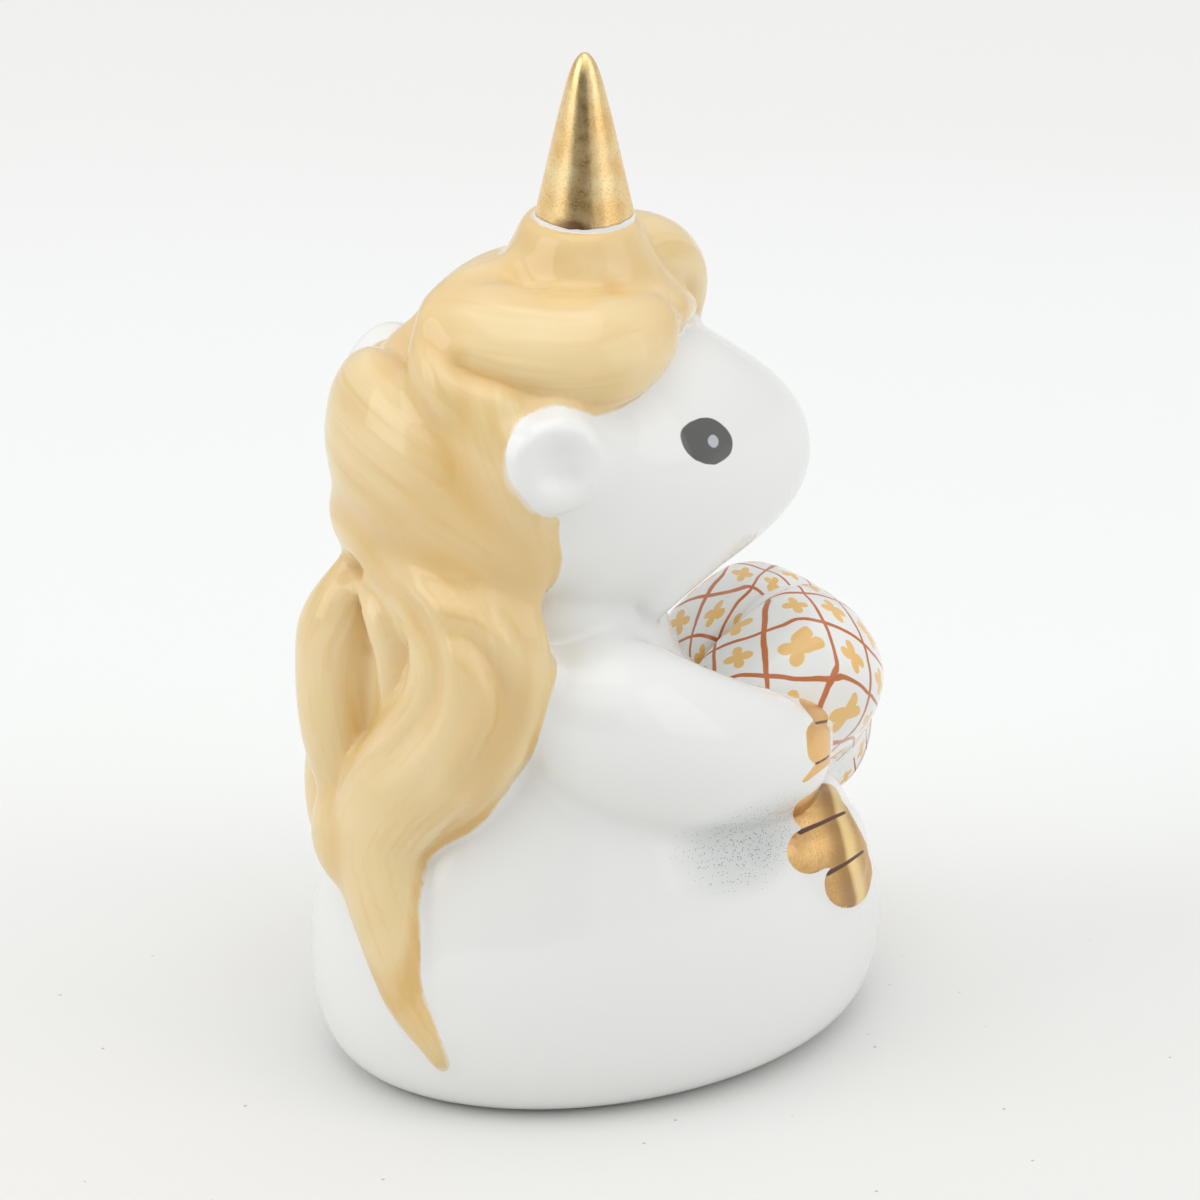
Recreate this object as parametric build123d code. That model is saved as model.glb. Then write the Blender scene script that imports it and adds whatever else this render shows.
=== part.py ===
from build123d import *
import os
from math import cos, exp, pi, radians, sin

# Seated baby unicorn that hugs a heart: slip-cast porcelain, glazed, in millimetres.
# +Z is up, the face looks towards -Y, its right side is -X, and the origin is the middle of the foot.

# Driving dimensions: torso
TORSO_WIDTH = 44.0
TORSO_DEPTH = 56.0
TORSO_HEIGHT = 50.0
TORSO_LEAN = 4.0

# Driving dimensions: head
HEAD_LENGTH = 43.1
HEAD_WIDTH = 31.4
HEAD_GIRTH = 30.4
HEAD_PITCH = 10.8
NOSE_FORWARD = 21.5
NOSE_HEIGHT = 52.7

# Driving dimensions: horn
HORN_LENGTH = 15.6
HORN_BASE = 9.0
HORN_SHOULDER = 9.8
HORN_TIP = 2.7
HORN_TIP_DROP = 2.3
HORN_BACK = 1.4
HORN_FOOT_HEIGHT = 79.8
HORN_SEAT = 3.0

# Driving dimensions: ears
EAR_ACROSS = 9.7
EAR_REACH = 3.1
EAR_ROOT = 4.0
EAR_SIDE = 12.7
EAR_BACK = 13.2
EAR_HEIGHT = 63.6

# Driving dimensions: heart
HEART_WIDTH = 21.8
HEART_HEIGHT = 23.6
HEART_THICK = 14.6
HEART_LEAN = 22.8
HEART_FORWARD = 22.3
HEART_MIDDLE_HEIGHT = 27.3

# Driving dimensions: limbs and tail
ARM_WIDTH = 16.4
ARM_DEPTH = 13.2
LEG_WIDTH = 13.5
LEG_DEPTH = 11.5
TAIL_WIDTH = 8.0
TAIL_DEPTH = 4.0

# Driving dimensions: hair
MANE_WIDTH = 22.0
MANE_THICK = 9.0
NAPE_WIDTH = 30.0
NAPE_DEPTH = 27.0
NAPE_BACK = 6.3
MOUND_ACROSS = 18.4
MOUND_BACK = 1.9

# Torso: shares of the height, half width, half depth and lean at each level, from the foot up
torso_level_shares = [
    (0, 0.79, 0.84, 0),
    (0.025, 0.89, 0.915, 0),
    (0.08, 0.97, 0.97, 0),
    (0.18, 1.00, 1.00, 0),
    (0.30, 0.985, 0.97, 0.10),
    (0.44, 0.91, 0.865, 0.32),
    (0.60, 0.77, 0.62, 1.15),
    (0.76, 0.61, 0.47, 1.65),
    (0.90, 0.54, 0.40, 1.75),
    (1.00, 0.50, 0.36, 1.75),
]


def torso_ring(height_share, width_share, depth_share, lean_share):
    place = Pos(0, lean_share * TORSO_LEAN, height_share * TORSO_HEIGHT)
    return place * Ellipse(width_share * TORSO_WIDTH / 2, depth_share * TORSO_DEPTH / 2)


torso = loft([torso_ring(*shares) for shares in torso_level_shares], ruled=True)

# Head: an egg whose narrow end is the muzzle; shares of the length and of the girth, from the nose back
head_outline_shares = [
    (0.004, 0.115),
    (0.020, 0.235),
    (0.045, 0.335),
    (0.080, 0.430),
    (0.150, 0.570),
    (0.240, 0.705),
    (0.340, 0.840),
    (0.450, 0.945),
    (0.560, 0.995),
    (0.680, 0.975),
    (0.790, 0.885),
    (0.880, 0.725),
    (0.945, 0.515),
    (0.985, 0.280),
]
nose = Vector(0, -NOSE_FORWARD, NOSE_HEIGHT)
backward = Vector(0, cos(radians(HEAD_PITCH)), sin(radians(HEAD_PITCH)))
upward = Vector(0, -sin(radians(HEAD_PITCH)), cos(radians(HEAD_PITCH)))
leftward = Vector(1, 0, 0)


def head_ring(length_share, girth_share):
    plane = Plane(origin=nose + backward * (length_share * HEAD_LENGTH), x_dir=leftward, z_dir=backward)
    return plane * Ellipse(girth_share * HEAD_WIDTH / 2, girth_share * HEAD_GIRTH / 2)


head_rings = [head_ring(*shares) for shares in head_outline_shares]
head = loft([Vertex(*nose), *head_rings, Vertex(*(nose + backward * HEAD_LENGTH))], ruled=True)
head = head - torso


# Places on the figure, as shares of the head, of the back of the hair bed, and of the torso
def on_head(back_share, side_share, up_share):
    back = backward * (back_share * HEAD_LENGTH)
    side = leftward * (side_share * HEAD_WIDTH / 2)
    up = upward * (up_share * HEAD_GIRTH / 2)
    return nose + back + side + up


# Nape rows of the bed: height, half width, half depth and middle of the back
nape_level_shares = [
    (0.375, 1.13, 1.30, 0.70),
    (0.475, 1.01, 1.04, 0.95),
    (0.575, 0.93, 0.91, 0.98),
    (0.64, 0.93, 0.85, 1.00),
    (0.70, 0.96, 0.91, 1.00),
    (0.775, 1.00, 1.01, 1.00),
    (0.85, 0.87, 0.93, 0.95),
    (0.925, 0.53, 0.59, 0.95),
]
BED_TORSO_ROWS = 6
hair_bed = []
for height_share, width_share, depth_share, lean_share in torso_level_shares[:BED_TORSO_ROWS]:
    height = height_share * TORSO_HEIGHT
    half_width = width_share * TORSO_WIDTH / 2
    half_depth = depth_share * TORSO_DEPTH / 2
    hair_bed.append((height, half_width, half_depth, lean_share * TORSO_LEAN))
for height_share, width_share, depth_share, back_share in nape_level_shares:
    height = height_share * HORN_FOOT_HEIGHT
    half_width = width_share * NAPE_WIDTH / 2
    half_depth = depth_share * NAPE_DEPTH / 2
    hair_bed.append((height, half_width, half_depth, back_share * NAPE_BACK))


def on_back(turn, height_share, lift_share):
    height = height_share * HORN_FOOT_HEIGHT
    lift = lift_share * MANE_THICK
    row = 0
    while row < len(hair_bed) - 2 and hair_bed[row + 1][0] < height:
        row = row + 1
    low = hair_bed[row]
    high = hair_bed[row + 1]
    part = (height - low[0]) / (high[0] - low[0])
    half_width = low[1] + part * (high[1] - low[1])
    half_depth = low[2] + part * (high[2] - low[2])
    middle = low[3] + part * (high[3] - low[3])
    x = (half_width + lift) * sin(radians(turn))
    y = middle + (half_depth + lift) * cos(radians(turn))
    return Vector(x, y, height)


def on_torso(side_share, back_share, height_share):
    x = side_share * TORSO_WIDTH / 2
    y = back_share * TORSO_DEPTH / 2
    return Vector(x, y, height_share * TORSO_HEIGHT)


# A strand: many-sided rings along a curve, each ring turned to face away from the middle of the body
def spine(at):
    return Vector(0, TORSO_LEAN, at.Z)


SKULL_BACK_SHARE = 0.6
SKULL_UP_SHARE = 0.1


def skull(at):
    return on_head(SKULL_BACK_SHARE, 0, SKULL_UP_SHARE)


def strand(route, width, depth, swell_shares, heart_of_body, sides):
    path = Spline(*route)
    rings = []
    last = len(swell_shares) - 1
    for step, swell_share in enumerate(swell_shares):
        at = path @ (step / last)
        along = path % (step / last)
        outward = at - heart_of_body(at)
        plane = Plane(origin=at, x_dir=outward.cross(along), z_dir=along)
        corners = []
        for corner in range(sides):
            angle = (2 * corner + 1) * pi / sides
            across = swell_share * width / 2 * cos(angle)
            away = swell_share * depth / 2 * sin(angle)
            corners.append((across, away))
        rings.append(plane * make_face(Polyline(*corners, close=True)))
    spans = [loft(rings[step:step + 3], ruled=True) for step in range(0, last, 2)]
    return spans[0].fuse(*spans[1:])


# Swells along a lock: shares of its full width and depth, from its root to its end
long_swell_shares = [0.50, 0.90, 1.00, 1.00, 1.00, 0.95, 0.85, 0.65, 0.30]
drop_swell_shares = [0.50, 0.90, 1.00, 1.00, 0.95, 0.85, 0.75, 0.62, 0.40]
leaf_swell_shares = [0.15, 0.60, 0.90, 1.00, 0.98, 0.88, 0.66, 0.38, 0.15]
edge_swell_shares = [0.30, 0.85, 1.00, 1.00, 1.00, 0.95, 0.85, 0.65, 0.30]
rope_swell_shares = [0.60, 0.90, 1.00, 1.00, 1.00, 1.00, 0.90, 0.75, 0.50]
roll_swell_shares = [0.55, 0.82, 0.95, 1.00, 1.00, 1.00, 0.92, 0.72, 0.40]
short_swell_shares = [0.30, 0.80, 1.00, 1.00, 0.95, 0.75, 0.35]
blunt_swell_shares = [0.50, 0.90, 1.00, 1.00, 1.00, 0.90, 0.70]
knob_swell_shares = [0.40, 0.85, 1.00, 1.00, 0.95, 0.80, 0.50]
lip_swell_shares = [0.50, 0.90, 1.00, 0.80, 0.40]
wisp_swell_shares = [
    0.50, 0.80, 0.90, 0.95, 1.00, 1.00, 1.00, 1.00, 0.95, 0.85, 0.74, 0.62, 0.48, 0.32, 0.12,
]

# Mane locks: name, width share, depth share, route and swell along it.
# A route point has the turn in degrees from straight back, the height share and the lift share.
lock_shares = [
    ("core", 1.00, 0.89, long_swell_shares, [
        (0, 0.875, -0.40), (-2, 0.800, -0.30), (-4, 0.700, -0.15), (-6, 0.600, 0), (-8, 0.500, 0.05),
        (-8, 0.415, 0), (-8, 0.325, -0.15), (-10, 0.250, -0.30),
    ]),
    ("upper", 0.77, 1.00, drop_swell_shares, [
        (36, 0.800, 0.05), (22, 0.795, 0.15), (7, 0.780, 0.20), (-8, 0.755, 0.20), (-22, 0.725, 0.20),
        (-36, 0.695, 0.20), (-50, 0.650, 0.15),
    ]),
    ("sweep", 0.48, 0.78, wisp_swell_shares, [
        (30, 0.690, 0.30), (16, 0.685, 0.50), (3, 0.685, 0.45), (-7, 0.655, 0.40), (-20, 0.630, 0.40),
        (-30, 0.585, 0.40), (-30, 0.520, 0.35), (-22, 0.450, 0.25), (-12, 0.380, 0.15), (-10, 0.320, 0.05),
        (-14, 0.265, 0), (-18, 0.210, 0), (-22, 0.155, 0), (-26, 0.115, 0.05), (-30, 0.075, 0.05),
    ]),
    ("outer", 0.32, 0.78, short_swell_shares, [
        (13, 0.630, 0.60), (10, 0.590, 0.65), (11, 0.540, 0.65), (9, 0.485, 0.60), (7, 0.430, 0.50),
        (4, 0.375, 0.35), (1, 0.325, 0.20), (-2, 0.280, 0.10),
    ]),
    ("inner", 0.145, 0.56, short_swell_shares, [
        (5, 0.615, 0.70), (-5, 0.590, 0.60), (-9, 0.550, 0.50), (-9, 0.495, 0.40), (-5, 0.440, 0.40),
    ]),
    ("ridge", 0.30, 0.67, leaf_swell_shares, [
        (-18, 0.645, 0.50), (-33, 0.625, 0.40), (-41, 0.585, 0.30), (-44, 0.535, 0.25), (-41, 0.475, 0.25),
        (-32, 0.410, 0.30), (-23, 0.350, 0.30),
    ]),
    ("edge", 0.25, 0.56, edge_swell_shares, [
        (-30, 0.660, 0.25), (-43, 0.640, 0.20), (-51, 0.595, 0.20), (-54, 0.535, 0.15), (-49, 0.475, 0.15),
        (-40, 0.415, 0.10), (-32, 0.360, 0.10), (-24, 0.315, 0.10),
    ]),
    ("side", 0.41, 0.67, drop_swell_shares, [
        (-27, 0.880, 0.05), (-31, 0.855, 0.10), (-37, 0.810, 0.10), (-46, 0.750, 0.10), (-51, 0.685, 0.10),
        (-53, 0.620, 0.10),
    ]),
    ("far_side", 0.50, 0.67, long_swell_shares, [
        (25, 0.865, -0.10), (34, 0.815, -0.05), (40, 0.750, -0.05), (42, 0.675, -0.05), (40, 0.590, 0),
        (34, 0.500, 0.10), (27, 0.415, 0.10), (16, 0.325, 0),
    ]),
]

# Locks on the head: a route point has the back share, the side share and the up share of the head
crown_shares = [
    ("crown", 0.27, 0.61, rope_swell_shares, [
        (0.74, 0.12, 1.14), (0.82, 0.04, 1.04), (0.92, -0.02, 0.94), (0.96, -0.10, 0.82), (1.00, -0.22, 0.70),
        (1.02, -0.38, 0.54), (1.02, -0.52, 0.38), (1.02, -0.66, 0.22),
    ]),
    ("cap", 0.91, 0.67, long_swell_shares, [
        (0.40, 0, 0.98), (0.56, 0, 1.04), (0.72, 0, 0.98), (0.88, 0, 0.72), (0.98, 0, 0.40),
    ]),
    ("front_top", 0.23, 0.61, blunt_swell_shares, [
        (0.88, 0.02, 1.00), (0.80, 0.04, 1.04), (0.70, 0, 1.10), (0.62, -0.14, 1.12), (0.56, -0.30, 1.10),
        (0.54, -0.50, 1.02),
    ]),
    ("lip", 0.205, 0.44, lip_swell_shares, [
        (1.00, -0.28, 0.68), (0.94, -0.46, 0.60), (0.88, -0.60, 0.56), (0.82, -0.72, 0.58),
    ]),
    ("far_belly", 0.455, 0.67, leaf_swell_shares, [
        (0.36, 0.50, 0.78), (0.46, 0.62, 0.82), (0.60, 0.68, 0.80), (0.72, 0.60, 0.76), (0.86, 0.42, 0.68),
    ]),
]
forelock_right_shares = [
    ("front_belly", 0.51, 1.00, roll_swell_shares, [
        (0.96, -0.08, 0.80), (0.90, -0.24, 0.82), (0.84, -0.44, 0.82), (0.76, -0.58, 0.84),
        (0.66, -0.62, 0.92), (0.56, -0.52, 1.08),
    ]),
]
forelock_left_shares = [
    ("far_lobe", 0.41, 0.83, knob_swell_shares, [
        (0.60, 0.04, 1.18), (0.48, 0.14, 1.20), (0.38, 0.22, 1.10), (0.32, 0.28, 0.90), (0.28, 0.30, 0.70),
    ]),
]
HAIR_SIDES = 14


def hair_strands(rows, place, heart_of_body):
    strands = []
    for name, width_share, depth_share, swell_shares, route_shares in rows:
        route = [place(*point) for point in route_shares]
        width = width_share * MANE_WIDTH
        depth = depth_share * MANE_THICK
        strands.append(strand(route, width, depth, swell_shares, heart_of_body, HAIR_SIDES))
    return strands


# The mound of hair that the horn stands in: shares of the horn foot height and of the mound radius
mound_shares = [(0.875, 1.00), (0.92, 0.98), (0.945, 0.89), (0.97, 0.72), (0.994, 0.587)]


def mound_ring(height_share, radius_share):
    place = Pos(0, MOUND_BACK, height_share * HORN_FOOT_HEIGHT)
    return place * Circle(radius_share * MOUND_ACROSS / 2)


mound = loft([mound_ring(*shares) for shares in mound_shares], ruled=True)

crown_locks = hair_strands(crown_shares, on_head, skull)
back_locks = hair_strands(lock_shares, on_back, spine)
mane = mound.fuse(*crown_locks, *back_locks)
mane = mane - [torso, head]

# Forelocks: the rolled locks in front of the horn, one on each side
forelock_right = hair_strands(forelock_right_shares, on_head, skull)[0] - [head, mane]
forelock_left = hair_strands(forelock_left_shares, on_head, skull)[0] - [head, mane, forelock_right]

# Horn: a plain cone with a rounded tip, seated in the mound
tip_round_shares = [(0.89, 0.61), (0.67, 0.30), (0.37, 0.09)]
horn_profile = [
    (0, -HORN_SEAT),
    (HORN_SHOULDER / 2, -HORN_SEAT),
    (HORN_BASE / 2, 0),
    (HORN_TIP / 2, HORN_LENGTH - HORN_TIP_DROP),
]
for radius_share, drop_share in tip_round_shares:
    horn_profile.append((radius_share * HORN_TIP / 2, HORN_LENGTH - drop_share * HORN_TIP_DROP))
horn_profile.append((0, HORN_LENGTH))
horn_face = make_face(Polyline(*horn_profile, close=True))
horn = Pos(0, HORN_BACK, HORN_FOOT_HEIGHT) * revolve(Plane.XZ * horn_face, Axis.Z)
horn = horn - [head, mane, forelock_right, forelock_left]

# Heart: a puffy solid in layers from the back to the front, drawn on a plane that leans back.
# Its outline is the classic heart curve; a layer shrinks towards the faces as a rounded form does.
HEART_POINTS = 26
HEART_CENTRE_SHARE = 0.08
HEART_PUFF = 2.29
heart_wave_shares = [(1, 0.450), (2, -0.173), (3, -0.069), (4, -0.035)]
HEART_RISE_SHARE = 0.088
HEART_CLEFT_FILL_SHARE = 0.13
HEART_CLEFT_REACH_SHARE = 0.25
heart_depth_shares = [-0.985, -0.92, -0.78, -0.52, -0.18, 0.18, 0.52, 0.78, 0.92, 0.985]
heart_plane = Plane(
    origin=(0, -HEART_FORWARD, HEART_MIDDLE_HEIGHT),
    x_dir=(1, 0, 0),
    z_dir=(0, -cos(radians(HEART_LEAN)), sin(radians(HEART_LEAN))),
)


def heart_outline(turn):
    side_share = sin(turn) ** 3
    up_share = HEART_RISE_SHARE + sum(share * cos(wave * turn) for wave, share in heart_wave_shares)
    if up_share > 0:
        up_share += HEART_CLEFT_FILL_SHARE * exp(-((side_share / HEART_CLEFT_REACH_SHARE) ** 2))
    return side_share, up_share


def heart_layer(depth_share):
    scale_share = (1 - abs(depth_share) ** HEART_PUFF) ** (1 / HEART_PUFF)
    corners = []
    for corner in range(HEART_POINTS):
        side_share, up_share = heart_outline(2 * pi * corner / HEART_POINTS)
        side = side_share * scale_share * HEART_WIDTH / 2
        up = (HEART_CENTRE_SHARE + (up_share - HEART_CENTRE_SHARE) * scale_share) * HEART_HEIGHT
        corners.append((side, up))
    outline = make_face(Polyline(*corners, close=True))
    return heart_plane * Pos(0, 0, depth_share * HEART_THICK / 2) * outline


heart = loft([heart_layer(depth_share) for depth_share in heart_depth_shares], ruled=True)
heart = heart - torso - head

# Arms and legs
LIMB_SIDES = 20
arm_route_shares = [
    (0.41, 0.46, 0.80), (0.60, 0.27, 0.74), (0.69, 0, 0.66), (0.645, -0.285, 0.60), (0.52, -0.52, 0.57),
    (0.41, -0.665, 0.555),
]
arm_swell_shares = [0.55, 0.90, 1.00, 1.00, 0.96, 0.91, 0.85, 0.77, 0.69, 0.56, 0.30]
leg_route_shares = [
    (0.365, 0.18, 0.26), (0.52, -0.11, 0.29), (0.59, -0.35, 0.33), (0.575, -0.53, 0.36), (0.50, -0.71, 0.38),
]
leg_swell_shares = [0.40, 0.80, 0.95, 1.00, 1.00, 1.00, 1.00, 1.00, 0.93, 0.76, 0.42]


def limb(side, route_shares, width, depth, swell_shares):
    route = [on_torso(side * across, back, height) for across, back, height in route_shares]
    return strand(route, width, depth, swell_shares, spine, LIMB_SIDES)


hugged = [torso, head, heart, mane]
arm_right = limb(-1, arm_route_shares, ARM_WIDTH, ARM_DEPTH, arm_swell_shares) - hugged
arm_left = limb(1, arm_route_shares, ARM_WIDTH, ARM_DEPTH, arm_swell_shares) - hugged
leg_right = limb(-1, leg_route_shares, LEG_WIDTH, LEG_DEPTH, leg_swell_shares) - [torso, heart, arm_right]
leg_left = limb(1, leg_route_shares, LEG_WIDTH, LEG_DEPTH, leg_swell_shares) - [torso, heart, arm_left]

# Ears: a cup on each side of the head; shares of the reach and of the half width
ear_shell_shares = [(-1.0, 0.64), (-0.3, 0.92), (0.3, 1.0), (0.72, 0.96), (0.93, 0.85), (1.0, 0.72)]
ear_bowl_shares = [(0.60, 0.16), (0.72, 0.43), (1.2, 0.72)]
ear_way_shares = (0.97, 0.22, 0.12)


def ear(side):
    root = Vector(side * EAR_SIDE, EAR_BACK, EAR_HEIGHT)
    out, back, up = ear_way_shares
    plane = Plane(origin=root, x_dir=(0, 0, 1), z_dir=(side * out, back, up))
    shell_rings = []
    for reach_share, radius_share in ear_shell_shares:
        reach = reach_share * (EAR_REACH if reach_share > 0 else EAR_ROOT)
        shell_rings.append(plane * Pos(0, 0, reach) * Circle(radius_share * EAR_ACROSS / 2))
    bowl_rings = []
    for reach_share, radius_share in ear_bowl_shares:
        bowl_rings.append(plane * Pos(0, 0, reach_share * EAR_REACH) * Circle(radius_share * EAR_ACROSS / 2))
    return loft(shell_rings, ruled=True) - loft(bowl_rings, ruled=True)


ear_right = ear(-1) - [head, mane, forelock_right]
ear_left = ear(1) - [head, mane, forelock_left]

# Tail: it wraps round the left side of the foot
tail_route_shares = [
    (0.545, 0.785, 0.26), (0.84, 0.50, 0.22), (0.965, 0.11, 0.19), (0.92, -0.32, 0.17),
    (0.68, -0.69, 0.166), (0.365, -0.89, 0.172), (0.045, -0.965, 0.18), (-0.225, -0.945, 0.184),
]
tail_swell_shares = [0.40, 0.70, 0.85, 0.95, 1.00, 1.00, 1.00, 1.00, 0.95, 0.85, 0.60]
tail_route = [on_torso(*point) for point in tail_route_shares]
tail = strand(tail_route, TAIL_WIDTH, TAIL_DEPTH, tail_swell_shares, spine, HAIR_SIDES)
tail = tail - [torso, leg_left, leg_right, heart, mane]

# Export, one file per piece
nodes = {
    "torso": torso,
    "head": head,
    "mane": mane,
    "forelock_right": forelock_right,
    "forelock_left": forelock_left,
    "horn": horn,
    "heart": heart,
    "arm_right": arm_right,
    "arm_left": arm_left,
    "leg_right": leg_right,
    "leg_left": leg_left,
    "ear_right": ear_right,
    "ear_left": ear_left,
    "tail": tail,
}
os.makedirs("parts", exist_ok=True)
for name, shape in nodes.items():
    print(name, len(shape.solids()), "solid", shape.volume)
    export_step(shape, "parts/" + name + ".step")
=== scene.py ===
from math import cos, pi, radians, sin

import bmesh
import bpy
import numpy as np
from mathutils import Matrix, Vector
from mathutils.bvhtree import BVHTree


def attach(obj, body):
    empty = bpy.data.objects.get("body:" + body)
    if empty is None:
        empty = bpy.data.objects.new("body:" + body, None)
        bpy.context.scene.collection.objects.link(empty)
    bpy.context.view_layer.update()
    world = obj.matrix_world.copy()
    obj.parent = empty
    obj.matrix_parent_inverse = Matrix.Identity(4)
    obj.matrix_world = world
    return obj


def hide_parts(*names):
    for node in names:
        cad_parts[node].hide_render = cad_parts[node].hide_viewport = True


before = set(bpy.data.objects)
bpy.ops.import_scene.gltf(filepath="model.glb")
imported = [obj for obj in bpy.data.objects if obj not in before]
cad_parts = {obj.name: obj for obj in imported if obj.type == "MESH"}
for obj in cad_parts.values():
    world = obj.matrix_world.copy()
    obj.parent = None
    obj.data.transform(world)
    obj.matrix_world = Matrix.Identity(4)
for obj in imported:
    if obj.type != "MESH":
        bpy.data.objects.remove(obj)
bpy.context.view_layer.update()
collection = bpy.context.scene.collection

# View of the photograph: a long lens from above the right side of the back, so that the horn's foot,
# the right ear and the heart's right lobe all show. Lengths are in metres, angles in degrees.
MM = 0.001
VIEW_AZIMUTH = 237.0
VIEW_ELEVATION = 24.0
VIEW_DISTANCE = 800.0 * MM
VIEW_LENS = 264.2
VIEW_HEIGHT = 42.13 * MM
VIEW_SIDE_STEP = 0.18 * MM
azimuth = radians(VIEW_AZIMUTH)
elevation = radians(VIEW_ELEVATION)
view_right = Vector((cos(azimuth), sin(azimuth), 0))
view_level = Vector((sin(azimuth), -cos(azimuth), 0))
view_back = view_level * cos(elevation) + Vector((0, 0, sin(elevation)))
view_up = view_back.cross(view_right)


def linked(name, data):
    made = bpy.data.objects.new(name, data)
    collection.objects.link(made)
    return made


camera = linked("camera", bpy.data.cameras.new("camera"))
camera.data.lens = VIEW_LENS
camera.data.sensor_fit = "HORIZONTAL"
turn = Matrix((view_right, view_up, view_back)).transposed().to_4x4()
place = Vector((0, 0, VIEW_HEIGHT)) + view_back * VIEW_DISTANCE + view_right * VIEW_SIDE_STEP
camera.matrix_world = Matrix.Translation(place) @ turn
bpy.context.scene.camera = camera
bpy.context.scene.view_settings.view_transform = "Standard"


# Light: a white tent with a large soft panel on each side of the camera, one overhead and a weak one in
# front. The gap in the tent, where the camera stands, is the dark stripe that the gilding mirrors.
def feed(tree, socket, value):
    if isinstance(value, bpy.types.NodeSocket):
        tree.links.new(value, socket)
    else:
        socket.default_value = value


def add(tree, kind, inputs=None, **settings):
    made = tree.nodes.new(kind)
    for name, value in settings.items():
        setattr(made, name, value)
    for key, value in (inputs or {}).items():
        feed(tree, made.inputs[key], value)
    return made


def calc(tree, operation, *values):
    return add(tree, "ShaderNodeMath", dict(enumerate(values)), operation=operation).outputs[0]


def plus(tree, first, second):
    return calc(tree, "ADD", first, second)


def minus(tree, first, second):
    return calc(tree, "SUBTRACT", first, second)


def times(tree, value, *others):
    for other in others:
        value = calc(tree, "MULTIPLY", value, other)
    return value


def vector(tree, operation, *values, output=0):
    made = add(tree, "ShaderNodeVectorMath", operation=operation)
    for key, value in enumerate(values):
        feed(tree, made.inputs["Scale" if isinstance(value, (int, float)) else key], value)
    return made.outputs[output]


def dot(tree, first, second):
    return vector(tree, "DOT_PRODUCT", first, second, output="Value")


def axes_of(tree, value):
    return add(tree, "ShaderNodeSeparateXYZ", {0: value}).outputs


def fade(tree, value, low, high, start=0.0, end=1.0):
    made = add(tree, "ShaderNodeMapRange", {0: value, 1: low, 2: high, 3: start, 4: end})
    made.interpolation_type = "SMOOTHSTEP"
    return made.outputs[0]


def mix(tree, share, first, second):
    made = add(tree, "ShaderNodeMix", data_type="RGBA")
    for key, value in (("Factor", share), ("A", first), ("B", second)):
        feed(tree, next(s for s in made.inputs if s.name == key and s.enabled), value)
    return next(s for s in made.outputs if s.enabled)


def colour(red, green, blue):
    """A colour as the photograph's 0 to 255 values, made linear."""
    parts = []
    for level in (red, green, blue):
        share = level / 255
        parts.append(share / 12.92 if share < 0.04045 else ((share + 0.055) / 1.055) ** 2.4)
    return (*parts, 1.0)


TENT_LEVEL = 0.57
TENT_TOP_LEVEL = 0.84
TENT_SHOULDER = 0.8
GAP_LEVEL = 0.04
GAP_TURN = -13.0
GAP_HALF_TURN = 29.0
GAP_EDGE = 6.0
GAP_TOP = 22.0
world = bpy.data.worlds.new("tent")
bpy.context.scene.world = world
world.use_nodes = True
tree = world.node_tree
background = tree.nodes["Background"]
way = add(tree, "ShaderNodeTexCoord").outputs["Generated"]
flat_way = vector(tree, "NORMALIZE", vector(tree, "MULTIPLY", way, (1, 1, 0)))
gap_around = azimuth + radians(GAP_TURN)
gap_way = (sin(gap_around), -cos(gap_around), 0)
towards_gap = dot(tree, flat_way, gap_way)
outer_edge = cos(radians(GAP_HALF_TURN + GAP_EDGE))
inner_edge = cos(radians(GAP_HALF_TURN))
gap = fade(tree, towards_gap, outer_edge, inner_edge)
height = axes_of(tree, way)[2]
under_top = fade(tree, height, sin(radians(GAP_TOP + GAP_EDGE)), sin(radians(GAP_TOP)))
gap = times(tree, gap, under_top)
tent = fade(tree, height, 0.0, TENT_SHOULDER, TENT_LEVEL, TENT_TOP_LEVEL)
level = times(tree, tent, minus(tree, 1.0, times(tree, gap, 1 - GAP_LEVEL)))
tree.links.new(level, background.inputs["Strength"])
background.inputs["Color"].default_value = (1.0, 1.0, 1.0, 1.0)
PANEL_DISTANCE = 0.9


def panel(name, turn_from_camera, tilt, width, height, power):
    """A soft light panel that looks at the figurine; turn is to the right of the camera."""
    around = azimuth + radians(turn_from_camera)
    lift = radians(tilt)
    way = Vector((sin(around) * cos(lift), -cos(around) * cos(lift), sin(lift)))
    data = bpy.data.lights.new(name, "AREA")
    data.shape = "RECTANGLE"
    data.size = width
    data.size_y = height
    data.energy = power
    lamp = linked(name, data)
    spot = Vector((0, 0, VIEW_HEIGHT)) + way * PANEL_DISTANCE
    lamp.matrix_world = Matrix.Translation(spot) @ way.to_track_quat("Z", "Y").to_matrix().to_4x4()


panel("left_panel", turn_from_camera=-68, tilt=28, width=0.6, height=0.7, power=1.95)
panel("right_panel", turn_from_camera=66, tilt=24, width=0.6, height=0.7, power=1.1)
panel("top_panel", turn_from_camera=10, tilt=82, width=0.8, height=0.8, power=1.8)
panel("front_panel", turn_from_camera=5, tilt=50, width=0.7, height=0.6, power=0.3)

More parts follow.
